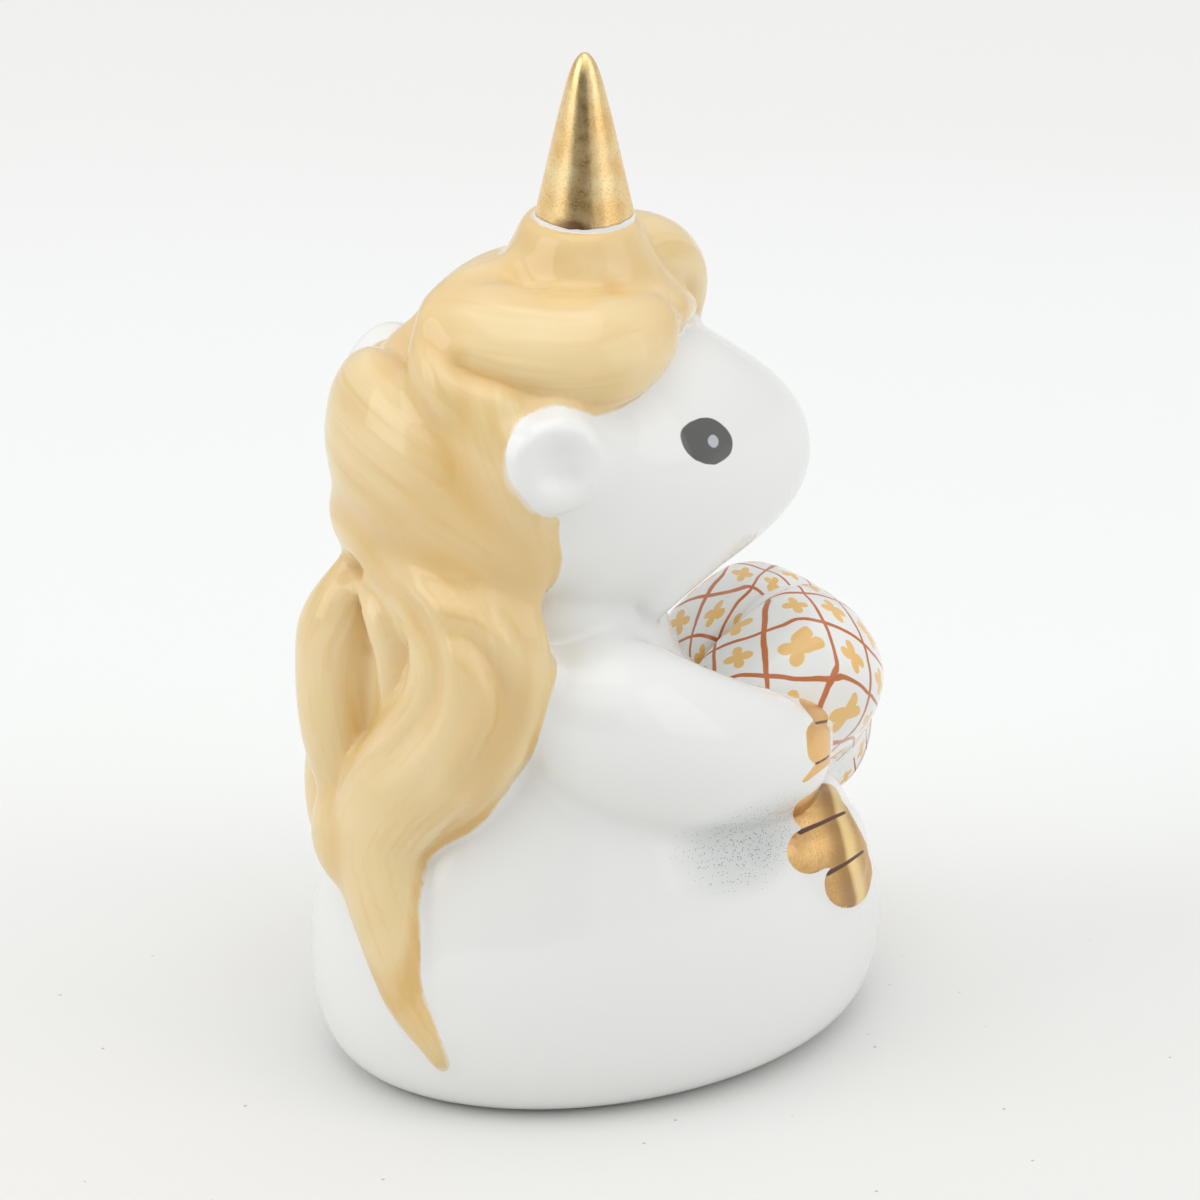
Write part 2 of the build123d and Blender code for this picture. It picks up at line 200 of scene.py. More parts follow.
# Floor: a sheet of matt white paper, larger than the picture. Its colour is painted a little greyer close to
# the camera and far behind, as painted shade round a brighter middle band, and a few grey grains lie on its
# near part.
FLOOR_HALF = 1.6
FLOOR_NEAR_SHADE = colour(231, 231, 229)
FLOOR_MIDDLE = colour(240, 242, 241)
FLOOR_FAR_SHADE = colour(238, 238, 237)
NEAR_EDGE = (-0.02, 0.07)
FAR_EDGE = (0.17, 0.24)
EDGE_WANDER = 0.05
GRAIN_GREY = colour(140, 140, 140)
GRAIN_STRENGTH = 0.55
GRAIN_RADIUS = 0.07
GRAINS_LEFT_OUT = 0.80
GRAIN_FADE = (0.03, -0.01)
MATT = {"Roughness": 0.95, "Specular IOR Level": 0.2}


def mesh_from(bm, name):
    mesh = bpy.data.meshes.new(name)
    bm.to_mesh(mesh)
    return mesh


def new_material(name, finish):
    """A material with its node tree and its shader, which is given the finish's values."""
    material = bpy.data.materials.new(name)
    material.use_nodes = True
    shader = material.node_tree.nodes["Principled BSDF"]
    for key, value in finish.items():
        shader.inputs[key].default_value = value
    return material, material.node_tree, shader


def object_spot(tree):
    return add(tree, "ShaderNodeTexCoord").outputs["Object"]


def noise(tree, spot, scale, detail, output="Fac"):
    made = add(tree, "ShaderNodeTexNoise", {"Vector": spot, "Scale": scale, "Detail": detail})
    return made.outputs[output]


def flecks(tree, spot, scale):
    """How far the nearest fleck is, and that fleck's own chance."""
    made = add(tree, "ShaderNodeTexVoronoi", {"Vector": spot, "Scale": scale}).outputs
    return made["Distance"], add(tree, "ShaderNodeSeparateColor", {0: made["Color"]}).outputs[0]


bm = bmesh.new()
bmesh.ops.create_grid(bm, x_segments=1, y_segments=1, size=FLOOR_HALF)
floor = linked("floor", mesh_from(bm, "floor"))
paper, tree, shader = new_material("white_paper", MATT)
spot = object_spot(tree)
away = dot(tree, spot, tuple(-view_level))
wander = noise(tree, spot, 14.0, 2.0)
away = plus(tree, away, times(tree, minus(tree, wander, 0.5), EDGE_WANDER))
# Painted shade: the paper is greyer close to the camera and far behind than in its middle band
tone = mix(tree, fade(tree, away, *NEAR_EDGE), FLOOR_NEAR_SHADE, FLOOR_MIDDLE)
tone = mix(tree, fade(tree, away, *FAR_EDGE), tone, FLOOR_FAR_SHADE)
to_grain, chance = flecks(tree, spot, 420.0)
grain_size = calc(tree, "LESS_THAN", to_grain, GRAIN_RADIUS)
few = calc(tree, "GREATER_THAN", chance, GRAINS_LEFT_OUT)
dots = times(tree, grain_size, few, fade(tree, away, *GRAIN_FADE))
tone = mix(tree, times(tree, dots, GRAIN_STRENGTH), tone, GRAIN_GREY)
tree.links.new(tone, shader.inputs["Base Color"])
floor.data.materials.append(paper)

# The casting: torso, head, ears, limbs and locks are luted together while soft, so one unbroken skin of
# porcelain runs over them all. It is made from the frame's own torso, head, ears and heart, with the
# limbs and locks swept again as round forms along the same routes.
HORN_FOOT = 79.8
MANE_WIDTH = 22.0
MANE_THICK = 9.0
NOSE = Vector((0, -21.5, 52.7))
HEAD_PITCH = radians(10.8)
HEAD_LENGTH = 43.1
HEAD_HALF_WIDTH = 15.7
HEAD_HALF_GIRTH = 15.2
backward = Vector((0, cos(HEAD_PITCH), sin(HEAD_PITCH)))
upward = Vector((0, -sin(HEAD_PITCH), cos(HEAD_PITCH)))
# Bed that the mane lies on: height, half width, half depth and how far back its middle lies, in millimetres
hair_bed = [
    (0, 17.4, 23.5, 0), (1.2, 19.6, 25.6, 0), (4, 21.3, 27.2, 0), (9, 22, 28, 0), (15, 21.7, 27.2, 0.4),
    (22, 20, 24.2, 1.3), (30, 16.9, 17.6, 4.4), (38, 15.2, 14, 6), (46, 14, 12.3, 6.2), (51, 14, 11.5, 6.3),
    (56, 14.4, 12.3, 6.3), (62, 15, 13.6, 6.3), (68, 13, 12.5, 6), (74, 8, 8, 6),
]


def on_back(turn, height_share, lift_share):
    height = height_share * HORN_FOOT
    lift = lift_share * MANE_THICK
    levels = [row[0] for row in hair_bed]
    half_width, half_depth, middle = (
        float(np.interp(height, levels, [row[column] for row in hair_bed])) for column in (1, 2, 3)
    )
    x = (half_width + lift) * sin(radians(turn))
    y = middle + (half_depth + lift) * cos(radians(turn))
    return Vector((x, y, height))


def on_head(back_share, side_share, up_share):
    side = Vector((side_share * HEAD_HALF_WIDTH, 0, 0))
    return NOSE + backward * (back_share * HEAD_LENGTH) + side + upward * (up_share * HEAD_HALF_GIRTH)


SPINE_BACK = 4.0
SKULL = on_head(0.6, 0, 0.1)


def from_spine(at):
    return at - Vector((0, SPINE_BACK, at.z))


def from_skull(at):
    return at - SKULL


STRAND_RINGS = 40
STRAND_SIDES = 28
CURVE_FINENESS = 8
SWELL_BLUR = [0.1, 0.2, 0.4, 0.2, 0.1]


def curve_through(points, count):
    """Evenly spaced points on a smooth curve through the given ones."""
    points = np.array([tuple(point) for point in points])
    stops = np.concatenate([[0], np.cumsum(np.linalg.norm(np.diff(points, axis=0), axis=1))])
    slopes = np.gradient(points, stops, axis=0, edge_order=2)
    fine = np.linspace(0, stops[-1], count * CURVE_FINENESS)
    span = np.clip(np.searchsorted(stops, fine, side="right") - 1, 0, len(stops) - 2)
    length = (stops[span + 1] - stops[span])[:, None]
    t = (fine - stops[span])[:, None] / length
    start, end = points[span], points[span + 1]
    bend = (2 * t**3 - 3 * t**2 + 1) * start + (3 * t**2 - 2 * t**3) * end
    bend += (t**3 - 2 * t**2 + t) * length * slopes[span] + (t**3 - t**2) * length * slopes[span + 1]
    run = np.concatenate([[0], np.cumsum(np.linalg.norm(np.diff(bend, axis=0), axis=1))])
    even = np.linspace(0, run[-1], count)
    return np.stack([np.interp(even, run, bend[:, axis]) for axis in range(3)], axis=1), even


class Strand:
    """One swept lock or limb: its rings' middles, axes and half sizes, in millimetres."""

    def __init__(self, route, width, depth, swell_shares, outward):
        self.middles, self.run = curve_through(route, STRAND_RINGS)
        stops = np.linspace(0, 1, len(swell_shares))
        swell = np.interp(np.linspace(0, 1, STRAND_RINGS), stops, swell_shares)
        swell = np.convolve(np.pad(swell, 2, mode="edge"), SWELL_BLUR, mode="valid")
        along = np.gradient(self.middles, axis=0)
        along /= np.linalg.norm(along, axis=1)[:, None]
        out = np.array([tuple(outward(Vector(middle))) for middle in self.middles])
        across = np.cross(out, along)
        self.across = across / np.linalg.norm(across, axis=1)[:, None]
        self.away = np.cross(along, self.across)
        self.along = along
        self.half_width = swell * width / 2
        self.half_depth = swell * depth / 2

    def ring(self, step):
        columns = (
            self.across[step] * self.half_width[step],
            self.away[step] * self.half_depth[step],
            self.along[step],
        )
        turn = Matrix(columns).transposed().to_4x4()
        return Matrix.Translation(self.middles[step]) @ turn

    def sweep(self, bm):
        start = self.ring(0)
        made = bmesh.ops.create_circle(bm, cap_ends=True, segments=STRAND_SIDES, radius=1, matrix=start)
        face = made["verts"][0].link_faces[0]
        for step in range(1, STRAND_RINGS):
            made = bmesh.ops.extrude_face_region(bm, geom=[face])["geom"]
            move = self.ring(step) @ self.ring(step - 1).inverted()
            ends = [part for part in made if isinstance(part, bmesh.types.BMVert)]
            bmesh.ops.transform(bm, matrix=move, verts=ends)
            face = next(part for part in made if isinstance(part, bmesh.types.BMFace))


# Limbs and tail: rolls of clay, bent round the body and luted on with slip, which also fills the ears' roots
# and the jaw. Each limb has its width, depth, swell and route of middles, in millimetres, for one side; the
# other side is its mirror image.
limb_rolls = {
    "arm": (16.4, 13.2, [0.55, 0.90, 1.00, 1.00, 0.96, 0.91, 0.85, 0.77, 0.69, 0.56, 0.30], [
        (9, 13, 40), (13.3, 7.5, 36.8), (15.2, 0, 33), (14.2, -8, 30), (11.2, -13.9, 28.2), (8.8, -17.9, 27.5),
    ]),
    "leg": (13.5, 11.5, [0.40, 0.80, 0.95, 1.00, 1.00, 1.00, 1.00, 1.00, 0.93, 0.76, 0.42], [
        (8, 5, 13), (11.5, -3, 14.5), (13, -9.8, 16.6), (12.7, -14.8, 18), (11, -19.8, 19),
    ]),
    "ear_root": (10.4, 8.2, [0.80, 1.00, 0.98, 0.90], [
        (-12.4, 11.2, 62.6), (-11.4, 8.4, 61.9), (-10.4, 5.2, 61.0), (-9.2, 2.4, 60.2),
    ]),
    "jaw": (6.0, 6.0, [0.60, 0.90, 0.95, 1.00, 1.00], [
        (-8.2, -8.2, 51.4), (-9.6, -5.4, 50.3), (-10.3, -2.7, 49.5), (-9.9, -0.7, 48.2), (-9.2, 2.0, 46.6),
    ]),
}
tail_route = [
    (12, 22, 13), (18.5, 14, 11), (21.2, 3, 9.5), (20.2, -9, 8.5), (15, -19.3, 8.3), (8, -25, 8.6),
    (1, -27, 9), (-5, -26.5, 9.2),
]
tail_swell_shares = [0.40, 0.70, 0.85, 0.95, 1.00, 1.00, 1.00, 1.00, 0.95, 0.85, 0.60]
TAIL_WIDTH = 8.0
TAIL_DEPTH = 4.0
limbs = []
for width, depth, swell_shares, route in limb_rolls.values():
    for side in (1, -1):
        points = [Vector((side * x, y, z)) for x, y, z in route]
        limbs.append(Strand(points, width, depth, swell_shares, from_spine))
tail = Strand([Vector(point) for point in tail_route], TAIL_WIDTH, TAIL_DEPTH, tail_swell_shares, from_spine)

# Locks: soft rolls of clay, laid on wavy and fused side by side. Each has width and depth as shares of the
# mane's, its swell and its route: on the back the turn in degrees from straight back, the height share and
# the lift share, and on the head the back, side and up shares.
long_swell = [0.50, 0.90, 1.00, 1.00, 1.00, 0.95, 0.85, 0.65, 0.30]
drop_swell = [0.50, 0.90, 1.00, 1.00, 0.95, 0.85, 0.75, 0.62, 0.40]
wisp_swell = [0.50, 0.80, 0.90, 0.95, 1.00, 1.00, 1.00, 1.05, 1.08, 1.00, 0.84, 0.66, 0.47, 0.28, 0.08]
leaf_swell = [0.15, 0.60, 0.90, 1.00, 0.98, 0.88, 0.66, 0.38, 0.15]
back_locks = {
    "core": (1.000, 0.889, [0.50, 0.90, 1.00, 1.00, 1.00, 0.92, 0.72, 0.45, 0.20], [
        (0, 0.875, -0.4), (-2, 0.8, -0.3), (-4, 0.7, -0.15), (-6, 0.6, 0), (-8, 0.5, 0.05), (-8, 0.415, 0),
        (-6, 0.325, -0.15), (-8, 0.25, -0.3),
    ]),
    "upper": (0.773, 1.000, drop_swell, [
        (36, 0.785, 0.05), (22, 0.78, 0.15), (7, 0.77, 0.2), (-8, 0.75, 0.2), (-21, 0.72, 0.2),
        (-33, 0.69, 0.2), (-43, 0.65, 0.15),
    ]),
    "sweep": (0.477, 0.778, wisp_swell, [
        (30, 0.69, 0.3), (16, 0.685, 0.5), (3, 0.685, 0.45), (-7, 0.655, 0.4), (-20, 0.63, 0.45),
        (-31, 0.585, 0.5), (-32, 0.52, 0.48), (-24, 0.45, 0.42), (-13, 0.385, 0.34), (-8, 0.325, 0.22),
        (-11, 0.27, 0.1), (-16, 0.215, 0.03), (-21, 0.155, 0), (-27, 0.115, 0.05), (-31.5, 0.07, 0.05),
    ]),
    "outer": (0.318, 0.778, [0.30, 0.80, 1.00, 1.00, 1.00, 0.95, 0.85, 0.60, 0.25], [
        (14, 0.63, 0.65), (12, 0.59, 0.7), (13, 0.54, 0.72), (12, 0.485, 0.66), (10, 0.43, 0.55),
        (9, 0.385, 0.42), (7, 0.345, 0.3), (4, 0.31, 0.15),
    ]),
    "joint": (0.360, 0.750, [0.30, 0.90, 1.00, 0.80, 0.30], [
        (9, 0.375, 0.3), (5, 0.335, 0.26), (1, 0.295, 0.16), (-4, 0.25, 0.04),
    ]),
    "inner": (0.145, 0.556, [0.30, 0.80, 1.00, 1.00, 0.95, 0.75, 0.35], [
        (5, 0.615, 0.7), (-5, 0.59, 0.6), (-9, 0.55, 0.5), (-9, 0.495, 0.4), (-5, 0.44, 0.4),
    ]),
    "ridge": (0.295, 0.85, leaf_swell, [
        (-18, 0.645, 0.6), (-30, 0.625, 0.5), (-36, 0.585, 0.42), (-39, 0.535, 0.38), (-37, 0.475, 0.36),
        (-30, 0.41, 0.3), (-22, 0.35, 0.1),
    ]),
    "edge": (0.250, 0.556, [0.30, 0.85, 1.00, 1.00, 1.00, 0.95, 0.85, 0.65, 0.30], [
        (-28, 0.66, 0.25), (-38, 0.64, 0.2), (-45, 0.595, 0.2), (-48, 0.535, 0.15), (-44, 0.475, 0.15),
        (-36, 0.42, 0.1), (-28, 0.375, 0.05), (-20, 0.335, 0),
    ]),
    "side": (0.409, 0.667, drop_swell, [
        (-27, 0.88, 0.05), (-31, 0.855, 0.1), (-36, 0.81, 0.1), (-42, 0.75, 0.1), (-45, 0.685, 0.1),
        (-46, 0.62, 0.1),
    ]),
    "far_side": (0.500, 0.667, long_swell, [
        (25, 0.865, -0.1), (34, 0.815, -0.05), (40, 0.75, -0.05), (42, 0.675, -0.05), (40, 0.59, 0),
        (38, 0.5, 0.15), (34, 0.41, 0.28), (25, 0.335, 0.28), (13, 0.275, 0.12),
    ]),
}
head_locks = {
    "crown": (0.273, 0.611, [0.60, 0.90, 1.00, 1.00, 1.00, 1.00, 0.85, 0.55, 0.20], [
        (0.74, 0.12, 1.14), (0.82, 0.04, 1.04), (0.92, -0.02, 0.94), (0.96, -0.1, 0.82), (1, -0.22, 0.7),
        (1.01, -0.38, 0.54), (0.98, -0.52, 0.42), (0.92, -0.66, 0.34),
    ]),
    "cap": (0.909, 0.667, long_swell, [
        (0.4, 0, 0.98), (0.56, 0, 1.04), (0.72, 0, 0.98), (0.88, 0, 0.72), (0.98, 0, 0.4),
    ]),
    "front_top": (0.227, 0.611, [0.50, 0.90, 1.00, 1.00, 1.00, 0.90, 0.70], [
        (0.88, 0.02, 1), (0.8, 0.04, 1.04), (0.7, 0, 1.1), (0.62, -0.14, 1.12), (0.56, -0.3, 1.1),
        (0.54, -0.5, 1.02),
    ]),
    "lip": (0.205, 0.444, [0.50, 0.90, 1.00, 0.80, 0.40], [
        (1, -0.28, 0.68), (0.94, -0.46, 0.6), (0.88, -0.6, 0.56), (0.82, -0.72, 0.58),
    ]),
    "far_belly": (0.455, 0.667, leaf_swell, [
        (0.36, 0.5, 0.78), (0.46, 0.62, 0.82), (0.6, 0.68, 0.8), (0.72, 0.6, 0.76), (0.86, 0.42, 0.68),
    ]),
}
near_forelock = (0.509, 1.000, [0.68, 0.90, 0.98, 1.00, 1.00, 1.00, 0.92, 0.72, 0.40], [
    (1.0, 0.0, 0.77), (0.92, -0.22, 0.81), (0.84, -0.44, 0.82), (0.76, -0.58, 0.84), (0.66, -0.62, 0.92),
    (0.56, -0.52, 1.08),
])
far_forelock = (0.409, 0.833, [0.40, 0.85, 1.00, 1.00, 0.95, 0.80, 0.50], [
    (0.6, 0.04, 1.18), (0.48, 0.14, 1.2), (0.38, 0.22, 1.1), (0.32, 0.28, 0.9), (0.28, 0.3, 0.7),
])


def lock(shares, place, outward):
    width_share, depth_share, swell_shares, route = shares
    points = [place(*point) for point in route]
    return Strand(points, width_share * MANE_WIDTH, depth_share * MANE_THICK, swell_shares, outward)


mane_locks = [lock(shares, on_back, from_spine) for shares in back_locks.values()]
mane_locks += [lock(shares, on_head, from_skull) for shares in head_locks.values()]
hair_groups = {
    "mane": mane_locks,
    "forelock_right": [lock(near_forelock, on_head, from_skull)],
    "forelock_left": [lock(far_forelock, on_head, from_skull)],
    "tail": [tail],
}

# Mound that the horn stands in: a low button of clay on the crown, luted under the locks. Its profile has
# radii and heights in millimetres.
MOUND_BACK = 1.9
MOUND_SIDES = 48
MERGE_GAP = 0.001
mound_profile = [(0, 70), (9.2, 70), (8.5, 73.5), (7.0, 75.8), (5.8, 78.2), (4.9, 80.1), (0, 80.1)]


def turned(bm, profile, middle, sides):
    """A closed form turned round an upright axis from its profile of radii and heights in millimetres."""
    points = [bm.verts.new((radius, 0, height)) for radius, height in profile]
    rims = [bm.edges.new(pair) for pair in zip(points, points[1:])]
    bmesh.ops.spin(
        bm, geom=points + rims, cent=(0, 0, 0), axis=(0, 0, 1), angle=2 * pi, steps=sides, use_merge=True
    )
    bmesh.ops.remove_doubles(bm, verts=bm.verts, dist=MERGE_GAP)
    bmesh.ops.translate(bm, verts=bm.verts, vec=middle)


def solid_form(strands, nodes, extra=None):
    bm = bmesh.new()
    if extra:
        extra(bm)
    for strand in strands:
        strand.sweep(bm)
    bmesh.ops.scale(bm, vec=(MM, MM, MM), verts=bm.verts)
    for node in nodes:
        bm.from_mesh(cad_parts[node].data)
    bmesh.ops.remove_doubles(bm, verts=bm.verts, dist=0.01 * MM)
    return bm


def add_mound(bm):
    turned(bm, mound_profile, (0, MOUND_BACK, 0), MOUND_SIDES)


FAR_EAR_MOVE = (0, 0.5 * MM, -0.7 * MM)
body_form = solid_form(limbs, ["torso", "head", "ear_right"])
far_ear = solid_form([], ["ear_left"])
bmesh.ops.translate(far_ear, verts=far_ear.verts, vec=FAR_EAR_MOVE)
body_form.from_mesh(mesh_from(far_ear, "far_ear"))
hair_forms = {
    name: solid_form(strands, [], add_mound if name == "mane" else None)
    for name, strands in hair_groups.items()
}
whole_form = bmesh.new()
for part in (body_form, *hair_forms.values(), solid_form([], ["heart"])):
    whole_form.from_mesh(mesh_from(part, "part"))

# Skin: the joined forms are wrapped in one closed surface of even grain, as the wet seams close up. All the
# sponging, combing and pressing below moves its points.
VOXEL = 0.46 * MM
casting = linked("casting", mesh_from(whole_form, "casting"))
remesh = casting.modifiers.new("skin", "REMESH")
remesh.mode = "VOXEL"
remesh.voxel_size = VOXEL
skin_mesh = bpy.data.meshes.new_from_object(casting.evaluated_get(bpy.context.evaluated_depsgraph_get()))
bpy.data.objects.remove(casting)
links = np.empty(len(skin_mesh.edges) * 2, int)
skin_mesh.edges.foreach_get("vertices", links)
links = links.reshape(-1, 2)
places = np.empty(len(skin_mesh.vertices) * 3)
skin_mesh.vertices.foreach_get("co", places)
places = places.reshape(-1, 3)
point_count = len(places)
neighbour_counts = np.bincount(links.ravel(), minlength=point_count)


def mean_of_neighbours(values):
    first, second = links.T
    total = np.bincount(first, values[second], len(values)) + np.bincount(second, values[first], len(values))
    return total / neighbour_counts


def relaxed(values, passes, hold=1.0):
    """The points' values, drawn half way to their neighbours' mean so many times."""
    columns = values.reshape(len(values), -1).T.copy()
    for _ in range(passes):
        for column in columns:
            column += 0.5 * hold * (mean_of_neighbours(column) - column)
    return np.ascontiguousarray(columns.T).reshape(values.shape)


def distances(form, points):
    tree = BVHTree.FromBMesh(form)
    return np.array([tree.find_nearest(point)[3] for point in points]) / MM


def smooth_step(low, high, values):
    share = np.clip((values - low) / (high - low), 0, 1)
    return share * share * (3 - 2 * share)


def surface_normals(points):
    skin_mesh.vertices.foreach_set("co", points.ravel())
    skin_mesh.update()
    normals = np.empty(len(points) * 3)
    skin_mesh.vertex_normals.foreach_get("vector", normals)
    return normals.reshape(-1, 3)


def raised(points, heights):
    return points + surface_normals(points) * heights[:, None]


def lost_height(before, after):
    return np.einsum("ij,ij->i", before - after, surface_normals(after))


# Open stretches of torso, head and limbs are sponged smooth, and the seams only a little
OPEN_PASSES = 160
cad_nodes = ("torso", "head", "ear_right", "ear_left", "heart")
node_gaps = [distances(solid_form([], [node]), places) for node in cad_nodes]
node_gaps += [distances(solid_form([limb], []), places) for limb in limbs[:4]]
hair_gap = np.min([distances(form, places) for form in hair_forms.values()], axis=0)
nearest_two = np.sort(np.array(node_gaps + [hair_gap]), axis=0)[:2]
open_share = smooth_step(0.8, 4.0, nearest_two[1]) * (hair_gap > 0.6)
ear_gap = np.minimum(node_gaps[2], node_gaps[3])
open_share *= smooth_step(0.5, 2.5, ear_gap)
before = places
places = relaxed(places, OPEN_PASSES, open_share)
lost = relaxed(lost_height(before, places), OPEN_PASSES, open_share)
places = raised(places, lost * (open_share > 0))

# All seams are drawn soft, the hair and the ears most of all, and most of the height is given back
SEAM_PASSES = 18
REFILL_PASSES = 30
REFILL_SHARE = 0.8
before = places
soft_share = 0.4 + 0.6 * np.maximum(smooth_step(2.0, 0.4, hair_gap), smooth_step(2.5, 1.0, ear_gap))
places = relaxed(places, SEAM_PASSES, soft_share)
places = raised(places, REFILL_SHARE * relaxed(lost_height(before, places), REFILL_PASSES))

# The ears' roots are luted on with slip, so their seams are filled most of all
ROOT_PASSES = 90
EAR_PASSES = 12
seam = np.exp(-((ear_gap / 1.6) ** 2) - (np.minimum(node_gaps[1], 9) / 1.3) ** 2)
places = relaxed(places, ROOT_PASSES, np.clip(1.6 * seam, 0, 1))
places = relaxed(places, EAR_PASSES, np.exp(-((ear_gap / 1.2) ** 2)))

# Which lock each point belongs to, and its place across and along that lock. The third number tells the
# locks apart, so that no two are combed alike.
LOCK_KEY = 7.3
HORN_BACK = 1.4
HORN_FOOT_RADIUS = 4.6
HORN_SEAT = 79.9
all_locks = [strand for strands in hair_groups.values() for strand in strands]
millimetres = places / MM
best = np.full(point_count, np.inf)
second = np.full(point_count, np.inf)
comb = np.zeros((point_count, 3))
for index, strand in enumerate(all_locks):
    near = np.full(point_count, np.inf)
    step = np.zeros(point_count, int)
    for ring in range(STRAND_RINGS):
        gap = np.sum((millimetres - strand.middles[ring]) ** 2, axis=1)
        closer = gap < near
        near[closer] = gap[closer]
        step[closer] = ring
    offset = millimetres - strand.middles[step]
    side = np.einsum("ij,ij->i", offset, strand.across[step]) / strand.half_width[step]
    out = np.einsum("ij,ij->i", offset, strand.away[step]) / strand.half_depth[step]
    forward = np.einsum("ij,ij->i", offset, strand.along[step])
    reach = np.hypot(side, out)
    reach = np.hypot(reach, np.maximum(0, np.abs(forward) - 1.0) / strand.half_depth[step])
    gap_to = (reach - 1) * strand.half_depth[step]
    better = gap_to < best
    second = np.where(better, best, np.minimum(second, gap_to))
    best = np.where(better, gap_to, best)
    around = np.arctan2(side, out) * (strand.half_width[step] + strand.half_depth[step]) / 2
    lock_key = np.full(len(step), index * LOCK_KEY)
    comb[better] = np.stack([around, strand.run[step] + forward, lock_key], axis=1)[better]
crease = 1 - smooth_step(0.0, 1.5, second - best)

skin_gap = distances(body_form, places)
hair_gaps = {name: distances(form, places) for name, form in hair_forms.items()}
hair_gap = np.min(list(hair_gaps.values()), axis=0)
horn_gap = np.hypot(millimetres[:, 0], millimetres[:, 1] - HORN_BACK) - HORN_FOOT_RADIUS
horn_gap += np.maximum(0, HORN_SEAT - millimetres[:, 2]) * 2
hair_field = np.minimum(skin_gap - hair_gap + 0.9 * crease, horn_gap)
hair_field = relaxed(hair_field, 6)

# Combed relief on the locks: shallow strokes of the modelling tool along each lock. Each kind has its depth
# and spacing in millimetres, its sway, the length of that sway and how much the lock's key shifts it.
comb_strokes = [(0.032, 3.1, 0.35, 8, 1), (0.010, 1.7, 0.3, 5, 2)]
across, along, lock_key = comb.T
strokes = np.zeros(point_count)
for depth, spacing, sway, sway_length, shift in comb_strokes:
    swayed = sway * np.sin(along / sway_length + shift * lock_key)
    strokes += depth * np.sin(2 * pi * (across / spacing + swayed))
strokes = relaxed(strokes * ((1 - crease) * smooth_step(0.2, 1.2, hair_field)), 4)
places = relaxed(raised(places, strokes * MM), 1)

# Folds between the locks, pressed into the soft clay with a round tool. Each has its reach and depth in
# millimetres, its share of painted shade and its points on a slanting stencil, pressed straight through it.
STENCIL_RIGHT = np.array([-0.545, -0.839, 0.0])
STENCIL_UP = np.array([0.341, -0.222, 0.913])
FOLD_STEPS = 40
FOLD_LIP = 0.4
FOLD_LIP_PLACE = 1.9
folds = [
    (1.1, 1.15, 0.45, [
        (-12.7, 35.8), (-10.9, 34.7), (-9.2, 32.5), (-8.1, 30.1), (-8.1, 27.7), (-9.5, 24.8), (-11.8, 21.8),
    ]),
    (1.0, 0.70, 0.35, [
        (-20.0, 42.4), (-17.5, 39.2), (-15.4, 36.0), (-14.5, 32.8), (-14.7, 29.6), (-16.5, 26.5), (-19.3, 23.6),
    ]),
    (0.8, 0.45, 0.90, [(-15.1, 62.0), (-13.5, 59.6), (-10.3, 58.0), (-7.1, 57.1), (-3.8, 56.4), (-0.7, 55.8)]),
    (1.1, 0.60, 0.45, [(-23.7, 46.9), (-20.5, 43.8), (-16.7, 41.5), (-12.7, 39.4), (-9.6, 36.5)]),
]
on_stencil = np.stack([places / MM @ STENCIL_RIGHT, places / MM @ STENCIL_UP], axis=1)
seen = smooth_step(0.1, 0.4, surface_normals(places) @ np.cross(STENCIL_RIGHT, STENCIL_UP))
pressed = np.zeros(point_count)
fold_shade = np.zeros(point_count)
for reach, depth, share, points in folds:
    points = curve_through([(*point, 0) for point in points], FOLD_STEPS)[0][:, :2]
    gaps = np.linalg.norm(on_stencil[:, None] - points[None], axis=2)
    near = gaps.min(axis=1) / reach
    ends = np.sin(np.linspace(0.15, pi - 0.15, FOLD_STEPS)) ** 0.6
    strength = ends[gaps.argmin(axis=1)] * seen * smooth_step(0.3, 1.5, hair_field)
    lip = FOLD_LIP * np.exp(-((near - FOLD_LIP_PLACE) ** 2))
    pressed += strength * depth * (lip - np.exp(-(near**2)))
    # The fold's painted shade, darkest along its middle
    fold_shade += strength * share * np.exp(-((near / 0.8) ** 2))
places = relaxed(raised(places, pressed * MM), 2)

# Hooves' toes: three low pads of clay at the end of each limb, parted by two notches. They are made of
# capsules on the stencil, each with its start, its end and its radii there in millimetres. The notches and
# the brown lines along them have half widths in place of radii.
HOOF_PAD = 0.30
HOOF_NOTCH = 0.16
HOOF_REACH = 7
# The line of the painted highlight streak on the hind hooves, and how far its painted bands reach, in
# millimetres
STREAK_START = (-15.0, -16.0, 23.4)
STREAK_END = (-17.6, -16.2, 16.9)
STREAK_REACH = 2.9
OUT_OF_REACH = 9.0
hind_toes = [
    ((-15.2, -12.9, 23.5), (-14.0, -15.7, 23.5), 1.45, 1.45),
    ((-17.9, -11.2, 21.1), (-17.5, -14.7, 21.3), 2.05, 2.00),
    ((-17.7, -15.7, 16.5), (-17.3, -16.9, 17.7), 2.20, 2.05),
    ((-15.6, -15.7, 22.6), (-17.0, -16.7, 18.6), 1.35, 1.75),
]
hind_lines = [
    ((-16.8, -11.0, 22.6), (-15.5, -16.6, 22.5), 0.24, 0.12),
    ((-18.7, -12.7, 18.7), (-16.7, -17.7, 18.9), 0.18, 0.12),
]
fore_toes = [
    ((-14.6, -12.6, 34.4), (-14.5, -14.8, 32.6), 0.30, 0.95),
    ((-16.5, -13.1, 31.8), (-17.4, -12.6, 30.6), 1.20, 1.15),
    ((-18.9, -9.8, 28.8), (-16.9, -13.7, 29.2), 0.15, 0.55),
]
